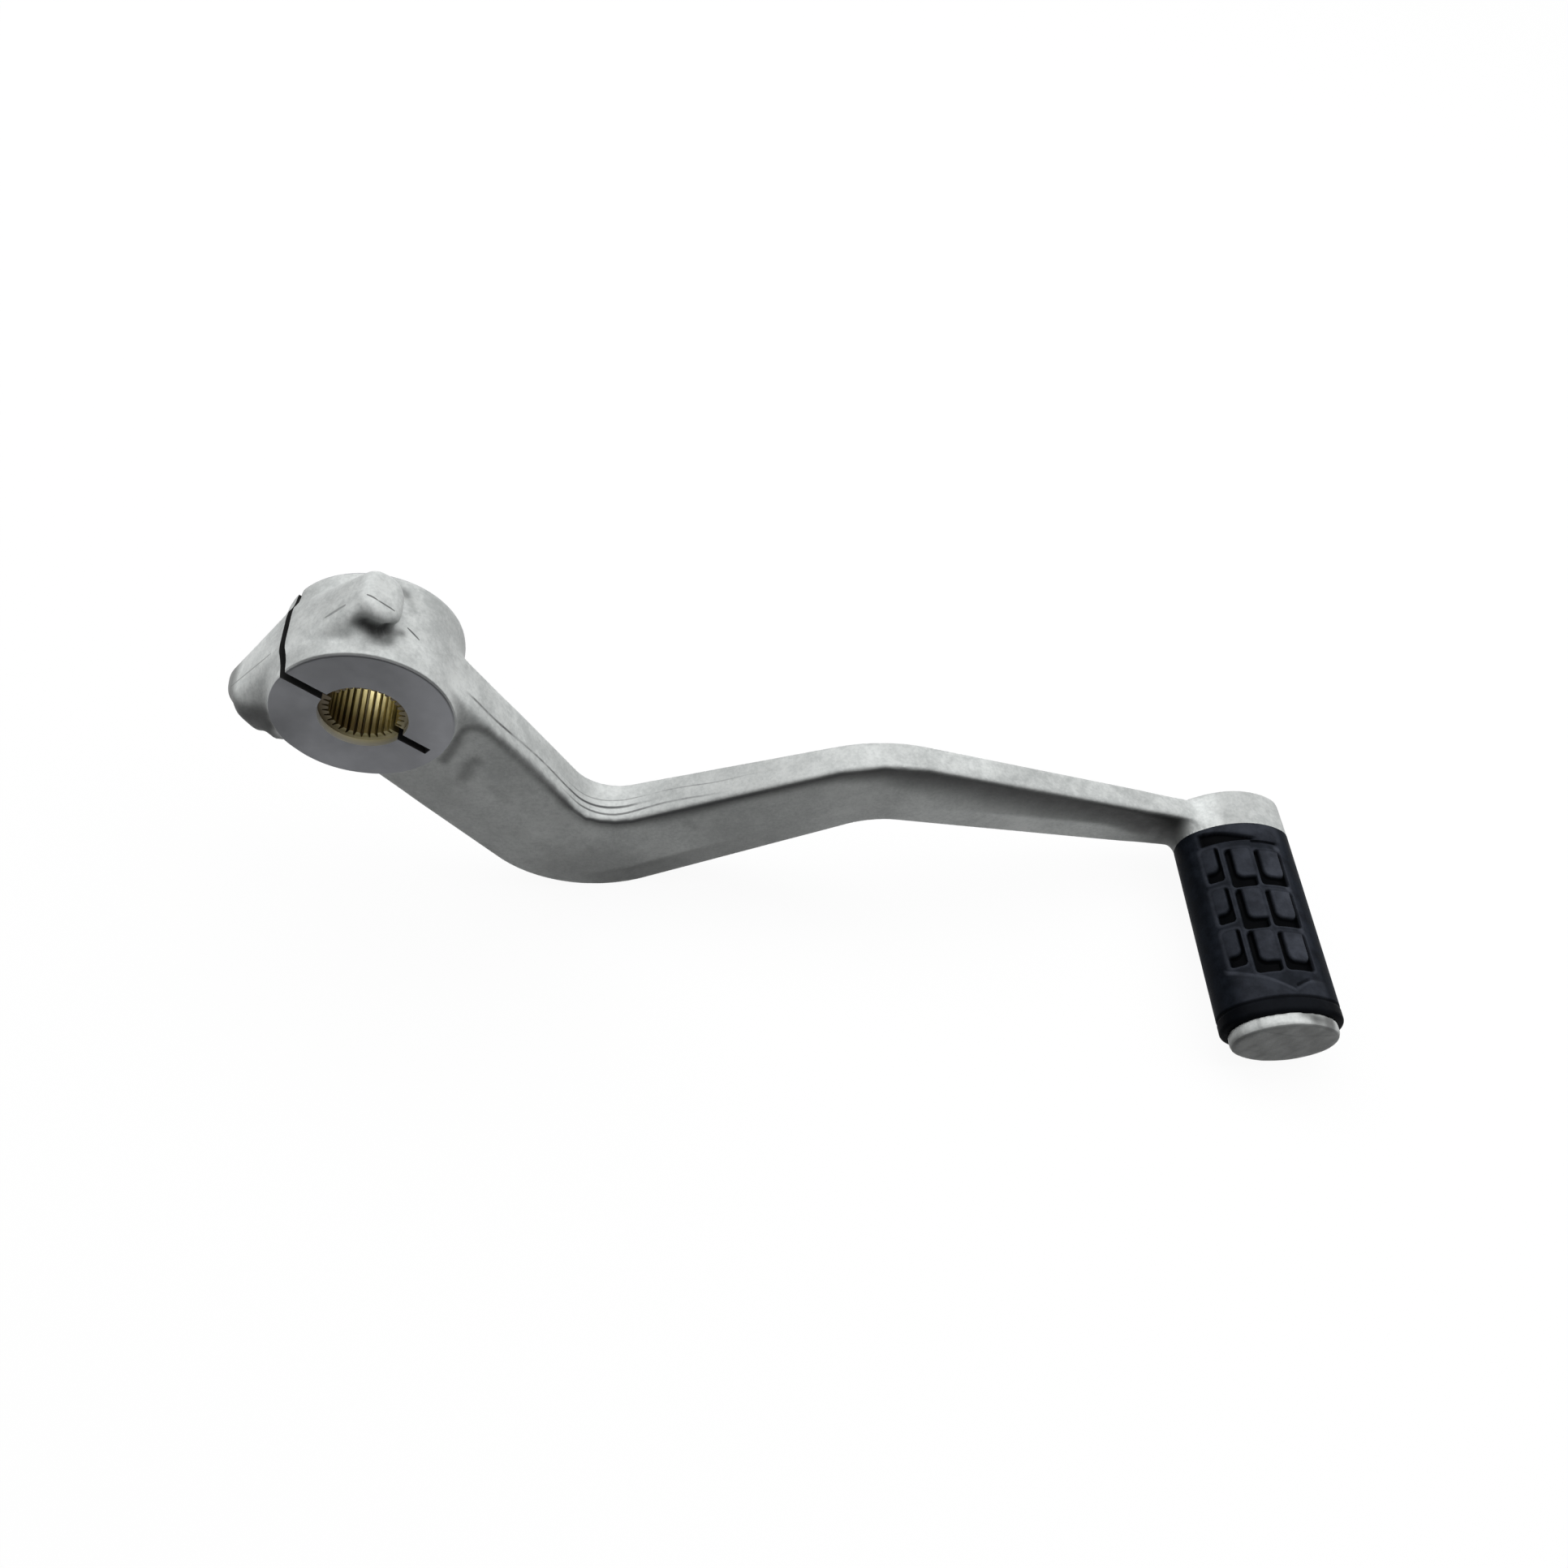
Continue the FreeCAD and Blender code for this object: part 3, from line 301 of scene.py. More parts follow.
class LeverStageSettings(bpy.types.PropertyGroup):
    """Camera and light of the stage."""

    eye: bpy.props.FloatVectorProperty(
        name="Camera place", description="Camera in metres",
        default=(0.05881872, -0.17031785, 0.18586458), size=3, subtype="XYZ")
    yaw: angle_setting("Yaw", "Turn to the right of straight ahead", 5.613888)
    pitch: angle_setting("Pitch", "Look down", 52.083045)
    roll: angle_setting("Roll", "Tilt of the camera", 3.410885)
    lens: bpy.props.FloatProperty(
        name="Lens", description="Focal length in millimetres on a 36 mm sensor", default=31.6691)
    key_power: bpy.props.FloatProperty(
        name="Key power", description="Watts of the overhead soft box", default=13.2)
    key_place: bpy.props.FloatVectorProperty(
        name="Key place", description="Soft box in metres", default=(0.20, 0.23, 0.72), size=3, subtype="XYZ")
    world_level: bpy.props.FloatProperty(
        name="Surround", description="Light from the surround", default=0.12)
    floor_bounce: bpy.props.FloatProperty(
        name="Floor bounce", description="Share of the light that the floor gives back", default=0.18)


def add_node(tree, kind, inputs=None, **options):
    """New shader node; an input is a value or the output that feeds it."""
    made = tree.nodes.new(kind)
    for name, value in options.items():
        setattr(made, name, value)
    for key, value in (inputs or {}).items():
        if isinstance(value, bpy.types.NodeSocket):
            tree.links.new(value, made.inputs[key])
        else:
            made.inputs[key].default_value = value
    return made


def calc(tree, operation, *values, clamp=False):
    """Output of a Math node."""
    made = add_node(tree, "ShaderNodeMath", dict(enumerate(values)), operation=operation, use_clamp=clamp)
    return made.outputs[0]


def vector(tree, operation, *values):
    """Output of a Vector Math node: a level for a dot product or a length, else a vector."""
    made = add_node(tree, "ShaderNodeVectorMath", dict(enumerate(values)), operation=operation)
    return made.outputs["Value" if operation in ("DOT_PRODUCT", "LENGTH") else "Vector"]


def times(tree, colour, level):
    """Colour or vector times a level."""
    made = add_node(tree, "ShaderNodeVectorMath", {0: colour, "Scale": level}, operation="SCALE")
    return made.outputs["Vector"]


def ramp(tree, value, low, high, out_low=0.0, out_high=1.0):
    """Smooth step of a value from one level to another."""
    limits = {"Value": value, "From Min": low, "From Max": high, "To Min": out_low, "To Max": out_high}
    return add_node(tree, "ShaderNodeMapRange", limits, interpolation_type="SMOOTHSTEP").outputs["Result"]


def zone(tree, place, low, high, out_low=0.0, out_high=1.0):
    """Smooth step between two places in millimetres."""
    return ramp(tree, place, low * MM, high * MM, out_low, out_high)


def away_from(tree, value, middle):
    """Distance of a value from a middle."""
    return calc(tree, "ABSOLUTE", calc(tree, "SUBTRACT", value, middle))


def blend(tree, share, first, second):
    """Colour between two colours."""
    made = add_node(tree, "ShaderNodeMix", {0: share, 6: first, 7: second}, data_type="RGBA")
    return made.outputs[2]


def joined(tree, operation, levels):
    """Levels put together one after the other."""
    result = levels[0]
    for level in levels[1:]:
        result = calc(tree, operation, result, level)
    return result


def product(tree, *levels):
    """All levels multiplied."""
    return joined(tree, "MULTIPLY", levels)


def highest(tree, *levels):
    """The largest of some levels."""
    return joined(tree, "MAXIMUM", levels)


def grain(tree, place, scale, detail=4.0, rough=0.6):
    """Level of a noise pattern."""
    made = add_node(tree, "ShaderNodeTexNoise",
                    {"Vector": place, "Scale": scale, "Detail": detail, "Roughness": rough})
    return made.outputs[0]


def attribute(tree, name):
    """Level of a point attribute of the piece."""
    return add_node(tree, "ShaderNodeAttribute", attribute_name=name).outputs["Fac"]


def rgba(colour, level=1.0):
    """Colour with an alpha of 1, made lighter or darker by a level."""
    return (colour[0] * level, colour[1] * level, colour[2] * level, 1.0)


def new_material(name):
    """Node material with its tree, its Principled shader and the place on the piece."""
    material = bpy.data.materials.new(name)
    material.use_nodes = True
    tree = material.node_tree
    shader = next(n for n in tree.nodes if n.type == "BSDF_PRINCIPLED")
    return material, tree, shader, add_node(tree, "ShaderNodeTexCoord").outputs["Object"]


def bore_fields(tree, place):
    """X, Y and Z of a place and its distance from the bore axis."""
    x, y, z = add_node(tree, "ShaderNodeSeparateXYZ", {0: place}).outputs
    flat = add_node(tree, "ShaderNodeCombineXYZ", {0: x, 2: z})
    return x, y, z, vector(tree, "LENGTH", flat.outputs[0])


def feed_shader(tree, shader, colour, rough, height, strength, depth):
    """Gives the Principled shader its colour, its roughness and a fine relief of a depth in millimetres."""
    tree.links.new(colour, shader.inputs["Base Color"])
    tree.links.new(rough, shader.inputs["Roughness"])
    bump = add_node(tree, "ShaderNodeBump", {"Strength": strength, "Distance": depth * MM, "Height": height})
    tree.links.new(bump.outputs[0], shader.inputs["Normal"])


def line_group():
    """Node group that gives the level of a soft line on the skin, pointed at both ends."""
    group = bpy.data.node_groups.new("skin_line", "ShaderNodeTree")
    for name in ("Place", "Start", "Rate", "Side", "Normal"):
        group.interface.new_socket(name, in_out="INPUT", socket_type="NodeSocketVector")
    group.interface.new_socket("Level", in_out="OUTPUT", socket_type="NodeSocketFloat")
    given = add_node(group, "NodeGroupInput").outputs
    offset = vector(group, "SUBTRACT", given["Place"], given["Start"])
    share = vector(group, "DOT_PRODUCT", offset, given["Rate"])
    bow = calc(group, "MULTIPLY", share, calc(group, "SUBTRACT", 1.0, share))
    reach = calc(group, "POWER", calc(group, "MULTIPLY", bow, 4.0, clamp=True), 0.3)
    away = calc(group, "ABSOLUTE", vector(group, "DOT_PRODUCT", offset, given["Side"]))
    line = ramp(group, away, reach, calc(group, "MULTIPLY", reach, 0.3))
    above = calc(group, "ABSOLUTE", vector(group, "DOT_PRODUCT", offset, given["Normal"]))
    level = product(group, line, zone(group, above, 2.5, 2.0))
    add_node(group, "NodeGroupOutput", {"Level": level})
    return group


def drawn_lines(tree, place, lines):
    """Level of all thin lines: each has its ends, the normal of the skin, its half width and its darkness."""
    group = line_group()
    level = None
    for start, stop, normal, width, dark in lines:
        along = stop - start
        side = normal.cross(along).normalized() / width
        values = {"Place": place, "Start": start, "Rate": along / along.length_squared, "Side": side,
                  "Normal": normal}
        made = add_node(tree, "ShaderNodeGroup", values, node_tree=group)
        line = calc(tree, "MULTIPLY", made.outputs[0], dark)
        level = line if level is None else calc(tree, "MAXIMUM", level, line)
    return level


def front_inset(tree, x, y):
    """Distance behind the front of the arm."""
    return calc(tree, "SUBTRACT", y, calc(tree, "MULTIPLY_ADD", x, FRONT_RISE, FRONT_START * MM))


def top_lines(tree, x, inset, place, broken):
    """Level of the fine lines along the top of the arm, at a wandering distance from its front edge."""
    wander = calc(tree, "SUBTRACT", grain(tree, place, 55.0, 1.0, 0.4), 0.5)
    inset = calc(tree, "ADD", inset, calc(tree, "MULTIPLY", wander, 2.6 * MM))
    levels = []
    for distance, dark, first, last in TOP_LINES:
        line = zone(tree, away_from(tree, inset, distance * MM), 0.1, 0.48 * dark, dark, 0.0)
        begins, ends = zone(tree, x, first, first + 5.0), zone(tree, x, last, last - 16.0)
        levels.append(product(tree, line, begins, ends))
    gaps = ramp(tree, broken, 0.34, 0.52, 0.25, 1.0)
    return product(tree, highest(tree, *levels), attribute(tree, "top"), gaps)


def recess_light_level(tree, casting, y, z, radius):
    """Level of the painted light, a cream tint, on the lower wall of the bush seat in front of the bush,
    strongest deep in the seat.
    """
    seat = casting.seat_radius
    wall = ramp(tree, radius, seat + 0.12 * MM, seat + 0.06 * MM)
    inward = ramp(tree, y, casting.bush_recess - casting.hub_half, 0.1 * MM - casting.hub_half, 0.9, 0.4)
    return product(tree, wall, inward, zone(tree, z, 3.0, -5.0))


def rim_shade_level(tree, casting, place, y, radius):
    """Level of the painted shade line round the upper part of the hub's front face, which stands for a dark
    reflection in its chamfer.
    """
    hub = casting.hub_radius
    upper = vector(tree, "DOT_PRODUCT", place, (0.42 / hub, 0.0, 0.91 / hub))
    return product(tree, ramp(tree, radius, hub - 0.75 * MM, hub - 0.35 * MM),
                   ramp(tree, radius, hub + 0.7 * MM, hub + 0.3 * MM),
                   ramp(tree, y, 0.7 * MM - casting.hub_half, 0.35 * MM - casting.hub_half),
                   ramp(tree, upper, 0.05, 0.75, 0.0, 0.8))


def brow_shade_level(tree, x, inset):
    """Level of the painted shade line under the upper front edge of the arm."""
    line = ramp(tree, away_from(tree, attribute(tree, "sink"), 0.6), 0.45, 0.12)
    return product(tree, line, zone(tree, inset, 1.6, 1.0), zone(tree, x, 27.0, 37.0),
                   zone(tree, x, 50.0, 110.0, 0.75, 0.25))


def slit_shade_level(tree, casting, place):
    """Level of the walls of the saw slit, which are painted near black as shade."""
    across, along = slit_axes(casting)
    away = calc(tree, "ABSOLUTE", vector(tree, "DOT_PRODUCT", place, across))
    half, end = casting.slit_width / 2.0, -casting.slit_relief
    return product(tree, ramp(tree, away, half + 0.12 * MM, half + 0.02 * MM),
                   ramp(tree, vector(tree, "DOT_PRODUCT", place, along), end - 0.2 * MM, end))


def cast_material(casting, finish, lines):
    """As-cast aluminium: sandy grain, painted light and shade and stains by the tone attribute, fine lines,
    smooth machined faces, painted light in the bush seat and painted shade near black in the saw slit.
    """
    material, tree, shader, place = new_material("cast_aluminium")
    x, y, z, radius = bore_fields(tree, place)
    sand = grain(tree, place, 1500.0)
    mottle = grain(tree, place, 420.0, 3.0)
    cloud = grain(tree, place, 90.0)
    blotch = grain(tree, place, 38.0, 5.0, 0.65)
    mixed = calc(tree, "MULTIPLY_ADD", sand, 0.3, calc(tree, "MULTIPLY", mottle, 0.35))
    mixed = calc(tree, "MULTIPLY_ADD", cloud, 0.35, mixed)
    skin = blend(tree, ramp(tree, mixed, 0.36, 0.62), rgba(finish.cast_dark), rgba(finish.cast_light))
    skin = times(tree, skin, ramp(tree, blotch, 0.32, 0.68, 0.80, 1.12))
    turned = ramp(tree, cloud, 0.35, 0.65)
    turned = blend(tree, turned, rgba(finish.machined, 0.92), rgba(finish.machined, 1.06))
    # the machined faces are made darker towards the top and lighter towards the right
    turned = times(tree, turned, zone(tree, z, -14.0, 14.0, 1.06, 0.84))
    turned = times(tree, turned, zone(tree, x, 6.0, 14.0, 1.0, 1.35))
    cut = attribute(tree, "machined")
    # the tone attribute carries painted light and shade as well as stains
    body = times(tree, blend(tree, cut, skin, turned), attribute(tree, "tone"))
    # painted light, cream, on the lower wall of the bush seat
    body = blend(tree, recess_light_level(tree, casting, y, z, radius), body, RECESS_LIGHT)
    inset = front_inset(tree, x, y)
    # dark, uneven line round the edge of the end face of the peg's head
    lip = zone(tree, away_from(tree, y, -52.95 * MM), 0.08, 0.24, 0.55, 0.0)
    lip = product(tree, lip, ramp(tree, blotch, 0.3, 0.6, 0.5, 1.0))
    # real fine lines of the casting, with the painted shade lines at the hub's rim and under the arm's upper
    # edge
    lines_and_shade = highest(tree, drawn_lines(tree, place, lines), top_lines(tree, x, inset, place, cloud),
                    rim_shade_level(tree, casting, place, y, radius), brow_shade_level(tree, x, inset), lip)
    body = blend(tree, lines_and_shade, body, LINE_AND_SHADE_INK)
    # painted shade: the walls of the saw slit are made near black
    slit = slit_shade_level(tree, casting, place)
    colour = blend(tree, slit, body, SLIT_SHADE)
    shader.inputs["Metallic"].default_value = 0.08
    shader.inputs["Specular IOR Level"].default_value = 0.3
    rough = ramp(tree, mottle, 0.3, 0.7, 0.42, 0.6)
    rough = calc(tree, "ADD", rough, calc(tree, "MULTIPLY", slit, 0.4), clamp=True)
    height = calc(tree, "MULTIPLY", mixed, calc(tree, "SUBTRACT", 1.0, calc(tree, "MULTIPLY", cut, 0.8)))
    height = calc(tree, "SUBTRACT", height, calc(tree, "MULTIPLY", lines_and_shade, 0.4))
    feed_shader(tree, shader, colour, rough, height, 0.35, 0.35)
    return material


def brass_material(casting, finish):
    """Broached brass: pale crests, painted shade in the brown roots, painted shade towards the front and the
    left of the bore, and on the ring in front of the teeth painted shade above and painted light below.
    """
    material, tree, shader, place = new_material("broached_brass")
    x, y, z, radius = bore_fields(tree, place)
    stain = grain(tree, place, 500.0)
    inward = calc(tree, "ADD", zone(tree, y, -8.5, 1.0, 0.0, 0.65), zone(tree, x, -6.0, 5.0, 0.0, 0.45))
    crest = blend(tree, ramp(tree, stain, 0.3, 0.7), rgba(finish.brass, 0.85), rgba(finish.brass, 1.05))
    # painted shade towards the front and the left of the bore, painted light deeper in it and to the right
    crest = blend(tree, ramp(tree, inward, 0.0, 0.75), BUSH_FRONT_SHADE, crest)
    # painted shade in the roots of the teeth
    wall = blend(tree, zone(tree, radius, 6.1, 7.0, 0.0, 0.85), crest, ROOT_SHADE)
    # painted shade on the left of the bore
    wall = times(tree, wall, zone(tree, x, -6.5, -1.0, 0.5, 1.15))
    # painted light on the lower part of the ring in front of the teeth, painted shade above it
    lower = product(tree, zone(tree, z, 3.0, -5.0), zone(tree, x, -7.5, -1.0, 0.1, 1.0),
                    zone(tree, x, 3.5, 7.0, 1.0, 0.3))
    pale = blend(tree, zone(tree, radius, 6.8, 7.4), rgba(finish.brass, 0.4), RING_LIGHT)
    face = blend(tree, lower, RING_SHADE, pale)
    end = casting.hub_half - casting.bush_recess
    ring = ramp(tree, calc(tree, "ABSOLUTE", y), end - 0.12 * MM, end - 0.02 * MM)
    shader.inputs["Metallic"].default_value = 0.4
    rough = ramp(tree, stain, 0.3, 0.7, 0.3, 0.48)
    feed_shader(tree, shader, blend(tree, ring, wall, face), rough, stain, 0.2, 0.2)
    return material


def rubber_material(finish):
    """Moulded rubber: bluish black, paler on the ribs and blocks by wear and painted light and highlights,
    and near black in the grooves by painted shade.
    """
    material, tree, shader, place = new_material("moulded_rubber")
    dust = grain(tree, place, 300.0)
    fine = grain(tree, place, 2200.0, 2.0, 0.5)
    plain = blend(tree, ramp(tree, dust, 0.35, 0.7), rgba(finish.rubber, 0.6), rgba(finish.rubber, 1.3))
    wear_and_sheen = product(tree, attribute(tree, "wear_and_sheen"), ramp(tree, dust, 0.25, 0.7, 0.45, 1.0))
    colour = blend(tree, wear_and_sheen, plain, rgba(finish.rubber_wear_and_sheen))
    # painted shade, near black, in the grooves, the crescent by the collar and round the outer end
    colour = blend(tree, attribute(tree, "groove"), colour, rgba(finish.rubber, 0.1))
    shader.inputs["Specular IOR Level"].default_value = 0.012
    feed_shader(tree, shader, colour, ramp(tree, dust, 0.3, 0.7, 0.40, 0.58), fine, 0.15, 0.2)
    return material


def seen_directly(tree):
    """Level that is 1 for what the camera sees, also in a mirror or through glass."""
    path = add_node(tree, "ShaderNodeLightPath").outputs
    return highest(tree, path["Is Camera Ray"], path["Is Glossy Ray"], path["Is Transmission Ray"])


def floor_material(stage):
    """Pale floor: white to the camera with the lever's shadow, and a low bounce of light on the lever."""
    material = bpy.data.materials.new("pale_floor")
    material.use_nodes = True
    tree = material.node_tree
    tree.nodes.clear()
    out = add_node(tree, "ShaderNodeOutputMaterial")
    bounce = add_node(tree, "ShaderNodeBsdfDiffuse", {"Color": rgba(WHITE, stage.floor_bounce)})
    paper = add_node(tree, "ShaderNodeBsdfDiffuse", {"Color": rgba(WHITE, 0.06)})
    white = add_node(tree, "ShaderNodeEmission", {"Color": WHITE, "Strength": 0.94})
    shown = add_node(tree, "ShaderNodeAddShader", {0: paper.outputs[0], 1: white.outputs[0]})
    mixed = add_node(tree, "ShaderNodeMixShader",
                     {0: seen_directly(tree), 1: bounce.outputs[0], 2: shown.outputs[0]})
    tree.links.new(mixed.outputs[0], out.inputs["Surface"])
    return material


def put_in_scene(name, data):
    """New object in the scene."""
    made = bpy.data.objects.new(name, data)
    bpy.context.scene.collection.objects.link(made)
    return made


def link_piece(name, mesh, material, node):
    """Puts a finished mesh in the scene in place of its CAD node."""
    piece = put_in_scene(name, mesh)
    mesh.materials.clear()
    mesh.materials.append(material)
    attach(piece, "root")
    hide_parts(node)


def slit_axes(casting):
    """Unit vectors across the slit, which is along the bolt, and along the slit to its open side."""
    lean = casting.slit_angle - math.radians(90.0)
    return Vector((math.cos(lean), 0.0, math.sin(lean))), Vector((-math.sin(lean), 0.0, math.cos(lean)))


def across_bore(middle=0.0):
    """Matrix that lays a cylinder along the bore."""
    return Matrix.Translation((0.0, middle, 0.0)) @ Matrix.Rotation(math.radians(90.0), 4, "X")


def along_bolt(casting, start, stop):
    """Matrix that lays a cylinder along the bolt axis between two distances from the slit."""
    along, away = slit_axes(casting)
    middle = away * casting.bolt_offset + along * (start + stop) / 2.0
    return Matrix.Translation(middle) @ along.to_track_quat("Z", "Y").to_matrix().to_4x4()


def add_cylinder(bm, radius, depth, matrix, segments):
    """Capped cylinder in a bmesh."""
    bmesh.ops.create_cone(bm, cap_ends=True, segments=segments, radius1=radius, radius2=radius, depth=depth,
                          matrix=matrix)


def add_slit_block(bm, casting, start, stop, width, depth):
    """Block along the slit between two distances from the bore axis."""
    turn = Matrix.Rotation(-casting.slit_angle, 4, "Y")
    middle = Matrix.Translation(((start + stop) / 2.0, 0.0, 0.0))
    size = Matrix.Diagonal((stop - start, depth, width, 1.0))
    bmesh.ops.create_cube(bm, size=1.0, matrix=turn @ middle @ size)


def mesh_of(bm, name, outward=True):
    """Mesh made of a bmesh, with its faces turned outwards or left as they are."""
    if outward:
        bmesh.ops.recalc_face_normals(bm, faces=bm.faces)
    mesh = bpy.data.meshes.new(name)
    bm.to_mesh(mesh)
    bm.free()
    return mesh


def bmesh_of(mesh):
    """Bmesh with a copy of a mesh."""
    bm = bmesh.new()
    bm.from_mesh(mesh)
    return bm


def surface_tree(bm):
    """Search tree of the faces of a bmesh, which is freed."""
    tree = BVHTree.FromBMesh(bm)
    bm.free()
    return tree


def merged_casting():
    """Copy of the CAD casting with its triangles joined."""
    bm = bmesh_of(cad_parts[CASTING].data)
    bmesh.ops.remove_doubles(bm, verts=bm.verts, dist=0.002 * MM)
    return bm


def casting_blank(casting):
    """Copy of the CAD casting with its bore, slit and bolt hole filled up and a fuller root under the lug."""
    bm = merged_casting()
    spare = 0.1 * MM
    proud_hub = 2.0 * (casting.hub_half + 1.5 * MM)
    add_cylinder(bm, casting.hub_radius - casting.rim_step, proud_hub, across_bore(), 96)
    add_cylinder(bm, casting.bolt_radius + spare, casting.lug_reach - spare,
                 along_bolt(casting, spare - casting.lug_reach, 0.0), 48)
    add_cylinder(bm, casting.thread_radius + spare, casting.thread_depth,
                 along_bolt(casting, 0.0, casting.thread_depth), 48)
    add_slit_block(bm, casting, 6.0 * MM, 16.9 * MM, casting.slit_width + 2.0 * spare, 11.0 * MM)
    start, stop = ROOT_ENDS
    root = along_bolt(casting, start * MM, stop * MM)
    root.translation += Vector(ROOT_SHIFT) * MM
    add_cylinder(bm, ROOT_RADIUS * MM, (stop - start) * MM, root, 32)
    return mesh_of(bm, "casting_blank", outward=False)


def evaluated(mesh, kind, **options):
    """Mesh after a modifier of a kind, with its options."""
    holder = put_in_scene("holder", mesh)
    modifier = holder.modifiers.new(kind, kind)
    for key, value in options.items():
        setattr(modifier, key, value)
    graph = bpy.context.evaluated_depsgraph_get()
    made = bpy.data.meshes.new_from_object(holder.evaluated_get(graph))
    bpy.data.objects.remove(holder)
    return made


def points_of(mesh, field="co"):
    """Coordinates or normals of the vertices as an array."""
    values = np.empty(len(mesh.vertices) * 3)
    mesh.vertices.foreach_get(field, values)
    return values.reshape(-1, 3)


def move_points(mesh, points):
    """Puts the vertices in new places."""
    mesh.vertices.foreach_set("co", points.ravel())
    mesh.update()


def point_attribute(mesh, name, values):
    """Stores a level for each vertex."""
    layer = mesh.attributes.new(name, "FLOAT", "POINT")
    layer.data.foreach_set("value", np.asarray(values, dtype=np.float32))


def smooth_level(value, low, high):
    """Smooth step of an array: 0 at one level and 1 at the other, which may be the lower one."""
    share = np.clip((value - low) / (high - low), 0.0, 1.0)
    return share * share * (3.0 - 2.0 * share)


def within(fields, steps):
    """Level of the vertices inside some soft steps."""
    return np.prod([smooth_level(fields[name], start, full) for name, start, full in steps], axis=0)


def from_line(points, start, stop):
    """Distance of points from a straight line between two points."""
    start = np.asarray(start)
    along = np.asarray(stop) - start
    share = np.clip((points - start) @ along / (along @ along), 0.0, 1.0)
    return np.linalg.norm(points - start - share[:, None] * along, axis=1)


def near_line(points, start, stop, full, none):
    """Level that is 1 near a line and falls to 0 away from it."""
    return smooth_level(from_line(points, start, stop), none, full)


def from_edge(x, z, edge):
    """Distance of points above an edge of the arm, square to it; below the edge it is negative."""
    edge_x, edge_z = np.array(edge).T
    slope = np.interp(x + 0.5, edge_x, edge_z) - np.interp(x - 0.5, edge_x, edge_z)
    return (z - np.interp(x, edge_x, edge_z)) / np.sqrt(1.0 + slope ** 2)


def waves(x, z, terms):
    """Sum of sine waves across the skin."""
    return sum(np.sin(along * x + up * z + start) for along, up, start in terms)


def skin_fields(points, casting, rubber):
    """Fields that the zones of the skin use, in millimetres."""
    x, y, z = points.T
    across = points @ np.array(slit_axes(casting)[0])
    from_peg = np.hypot(x - rubber.axis[0] / MM, z - rubber.axis[1] / MM)
    return {"x": x, "y": y, "z": z, "radius": np.hypot(x, z), "across": across, "off_slit": np.abs(across),
            "from_peg": from_peg}


class Links:
    """Neighbours of the vertices of a mesh."""

    def __init__(self, mesh):
        ends = np.empty(len(mesh.edges) * 2, dtype=np.int64)
        mesh.edges.foreach_get("vertices", ends)
        self.first, self.second = ends[0::2], ends[1::2]
        self.order = np.bincount(ends, minlength=len(mesh.vertices)).astype(float)

    def mean(self, values):
        """Mean of the neighbours of each vertex."""
        total = np.bincount(self.first, weights=values[self.second], minlength=len(values))
        total += np.bincount(self.second, weights=values[self.first], minlength=len(values))
        return total / self.order


class SkinShape:
    """Vertices of a skin and the pull of their neighbours."""

    def __init__(self, mesh):
        self.mesh = mesh
        self.points = points_of(mesh)
        self.normals = points_of(mesh, "normal")
        self.links = Links(mesh)

    def pull(self):
        """Way from each vertex to the middle of its neighbours."""
        return np.stack([self.links.mean(column) for column in self.points.T], axis=1) - self.points

    def hollow(self):
        """How hollow the skin is at each vertex; an outside edge is below zero."""
        return (self.pull() * self.normals).sum(axis=1)

    def settle(self):
        """Writes the vertices back and works out their normals."""
        move_points(self.mesh, self.points)
        self.normals = points_of(self.mesh, "normal")

    def press_in(self, share, depth):
        """Moves the vertices inwards by a share of a depth."""
        self.points -= self.normals * share[:, None] * depth

    def even_out(self, share, passes):
        """Smooths the skin by a share for each vertex."""
        for step in range(passes):
            self.points += self.pull() * share[:, None]
        self.settle()

    def fill_hollows(self, share, passes):
        """Smooths only the hollow corners, which fills them as a casting's fillets do."""
        for step in range(passes):
            pull = self.pull()
            inside = (pull * self.normals).sum(axis=1) > 0.0
            self.points += pull * np.where(inside, share, 0.0)[:, None]
            if step % 6 == 5:
                self.settle()
        self.settle()

    def lay_on(self, surface, share):
        """Moves the vertices to the nearest place of a surface by a share for each."""
        for index in np.nonzero(share > 0.01)[0]:
            place = surface.find_nearest(Vector(self.points[index]))[0]
            self.points[index] += share[index] * (np.array(place) - self.points[index])
        self.settle()


